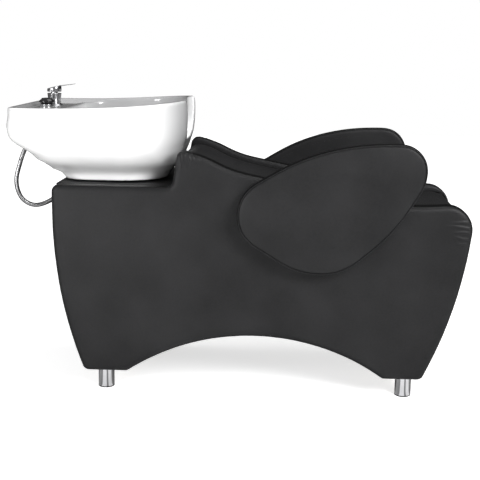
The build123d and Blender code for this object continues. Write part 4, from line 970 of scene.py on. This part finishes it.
# ---------------------------------------------------------------- stage
def area_light(name, place, target, size, power):
    """Soft square light that faces a target."""
    data = bpy.data.lights.new(name, "AREA")
    data.energy = power
    data.shape = "RECTANGLE"
    data.size = size
    data.size_y = size
    lamp = bpy.data.objects.new(name, data)
    lamp.location = place
    lamp.rotation_euler = (Vector(target) - Vector(place)).to_track_quat("-Z", "Y").to_euler()
    lamp.visible_camera = False
    SCENE.collection.objects.link(lamp)


def seen_or_not(tree, plain, seen):
    """Mix of two shaders: the second for what the camera sees itself, the first for all other rays."""
    rays = tree.nodes.new("ShaderNodeLightPath")
    mix = tree.nodes.new("ShaderNodeMixShader")
    tree.links.new(rays.outputs["Is Camera Ray"], mix.inputs[0])
    tree.links.new(plain, mix.inputs[1])
    tree.links.new(seen, mix.inputs[2])
    return mix.outputs[0]


def make_stage():
    """Pale floor, white surroundings and soft studio lights."""
    size = 9.0
    corners = [(-size, -size, 0), (size, -size, 0), (size, size, 0), (-size, size, 0)]
    floor = new_object("floor", corners, [(0, 1, 2, 3)], "leather", smooth=False)
    made = Finish("floor", Roughness=0.9, Specular_IOR_Level=0.1, Emission_Strength=1.0)
    speck = made.noise(3.0, 2.0)
    made.feed("Base Color", made.mixed(speck, (0.92, 0.92, 0.92), (0.94, 0.94, 0.94)))
    reach = made.axis(0).math("POWER", 2.0) + made.axis(1).math("POWER", 2.0)
    made.feed("Emission Color", made.mixed(reach.span(0.8, 9.0), (0.66, 0.66, 0.66), (1.0, 1.0, 1.0)))
    # Other rays see a dark floor with painted bright cards round each row of feet: a painted reflection of the
    # cards that metal shows in a studio
    across = made.axis(0) - made.axis(0).span(0.0, 0.1, -0.4135, 0.5205)
    ahead = (made.axis(1) + 0.203) * -1.0
    angle = across.math("ARCTAN2", ahead)
    first = angle.span(-0.78, -0.66).math("MULTIPLY", angle.span(0.27, 0.15))
    second = angle.span(0.5, 0.6).math("MULTIPLY", angle.span(1.5, 1.3))
    painted_card_reflections = first.math("MAXIMUM", second).math("MAXIMUM", angle.span(-0.8, -1.6, 0.25, 0.45))
    dull = made.tree.nodes.new("ShaderNodeBsdfPrincipled")
    dull.inputs["Roughness"].default_value = 1.0
    dull.inputs["Specular IOR Level"].default_value = 0.0
    made.tree.links.new(made.mixed(painted_card_reflections, (0.05, 0.05, 0.05), (1.0, 1.0, 1.0)), dull.inputs["Base Color"])
    mixed = seen_or_not(made.tree, dull.outputs[0], made.shader.outputs[0])
    made.tree.links.new(mixed, made.tree.nodes["Material Output"].inputs["Surface"])
    floor.data.materials[0] = made.material

    world = bpy.data.worlds.new("studio")
    SCENE.world = world
    world.use_nodes = True
    tree = world.node_tree
    tree.nodes.clear()
    where = tree.nodes.new("ShaderNodeTexCoord")
    parts = tree.nodes.new("ShaderNodeSeparateXYZ")
    tree.links.new(where.outputs["Generated"], parts.inputs[0])
    right, away, up = (Value(tree, parts.outputs[name]) for name in "XYZ")
    glow = (up * 0.7 - right * 0.2 - away * 0.7).span(-0.4, 1.1, 0.03, 0.50)
    shades = []
    for strength in (glow, 1.0):
        shade = tree.nodes.new("ShaderNodeBackground")
        shade.inputs["Color"].default_value = (1, 1, 1, 1)
        if isinstance(strength, Value):
            tree.links.new(strength.socket, shade.inputs["Strength"])
        else:
            shade.inputs["Strength"].default_value = strength
        shades.append(shade.outputs[0])
    out = tree.nodes.new("ShaderNodeOutputWorld")
    tree.links.new(seen_or_not(tree, *shades), out.inputs["Surface"])

    area_light("key", (2.0, -2.7, 2.1), (0.0, 0, 0.6), 1.3, 122)
    area_light("left", (-2.3, -2.3, 1.2), (-0.3, 0, 0.7), 1.0, 34)
    area_light("low", (-1.3, -2.7, 0.35), (-0.3, 0, 0.6), 0.8, 18)
    area_light("top", (0.5, 0.1, 3.0), (0.3, 0, 0), 1.8, 30)
    SCENE.view_settings.view_transform = "Standard"


# ---------------------------------------------------------------- everything together
place_camera()
make_hoses()
make_drain_hose()
for panel, side in zip(make_side_panels(), SIDES):
    finish_padded(panel, "side_panel_" + side)
for pad, side in zip(make_arm_pads(), SIDES):
    finish_padded(pad, "arm_pad_" + side)
finish_padded(make_cushion(), "center_cushion")
finish_padded(make_plain_pad("rear_cover", 0.006, 0.0004), "rear_cover")
finish_padded(make_plain_pad("front_apron", 0.006, 0.0004), "front_apron")
finish_padded(make_plain_pad("shelf_pad", 0.0035, 0.0002), "shelf_pad")
make_basin()
make_mixer_body()
make_handle()
dress_nodes()
make_stage()

bpy.context.view_layer.update()
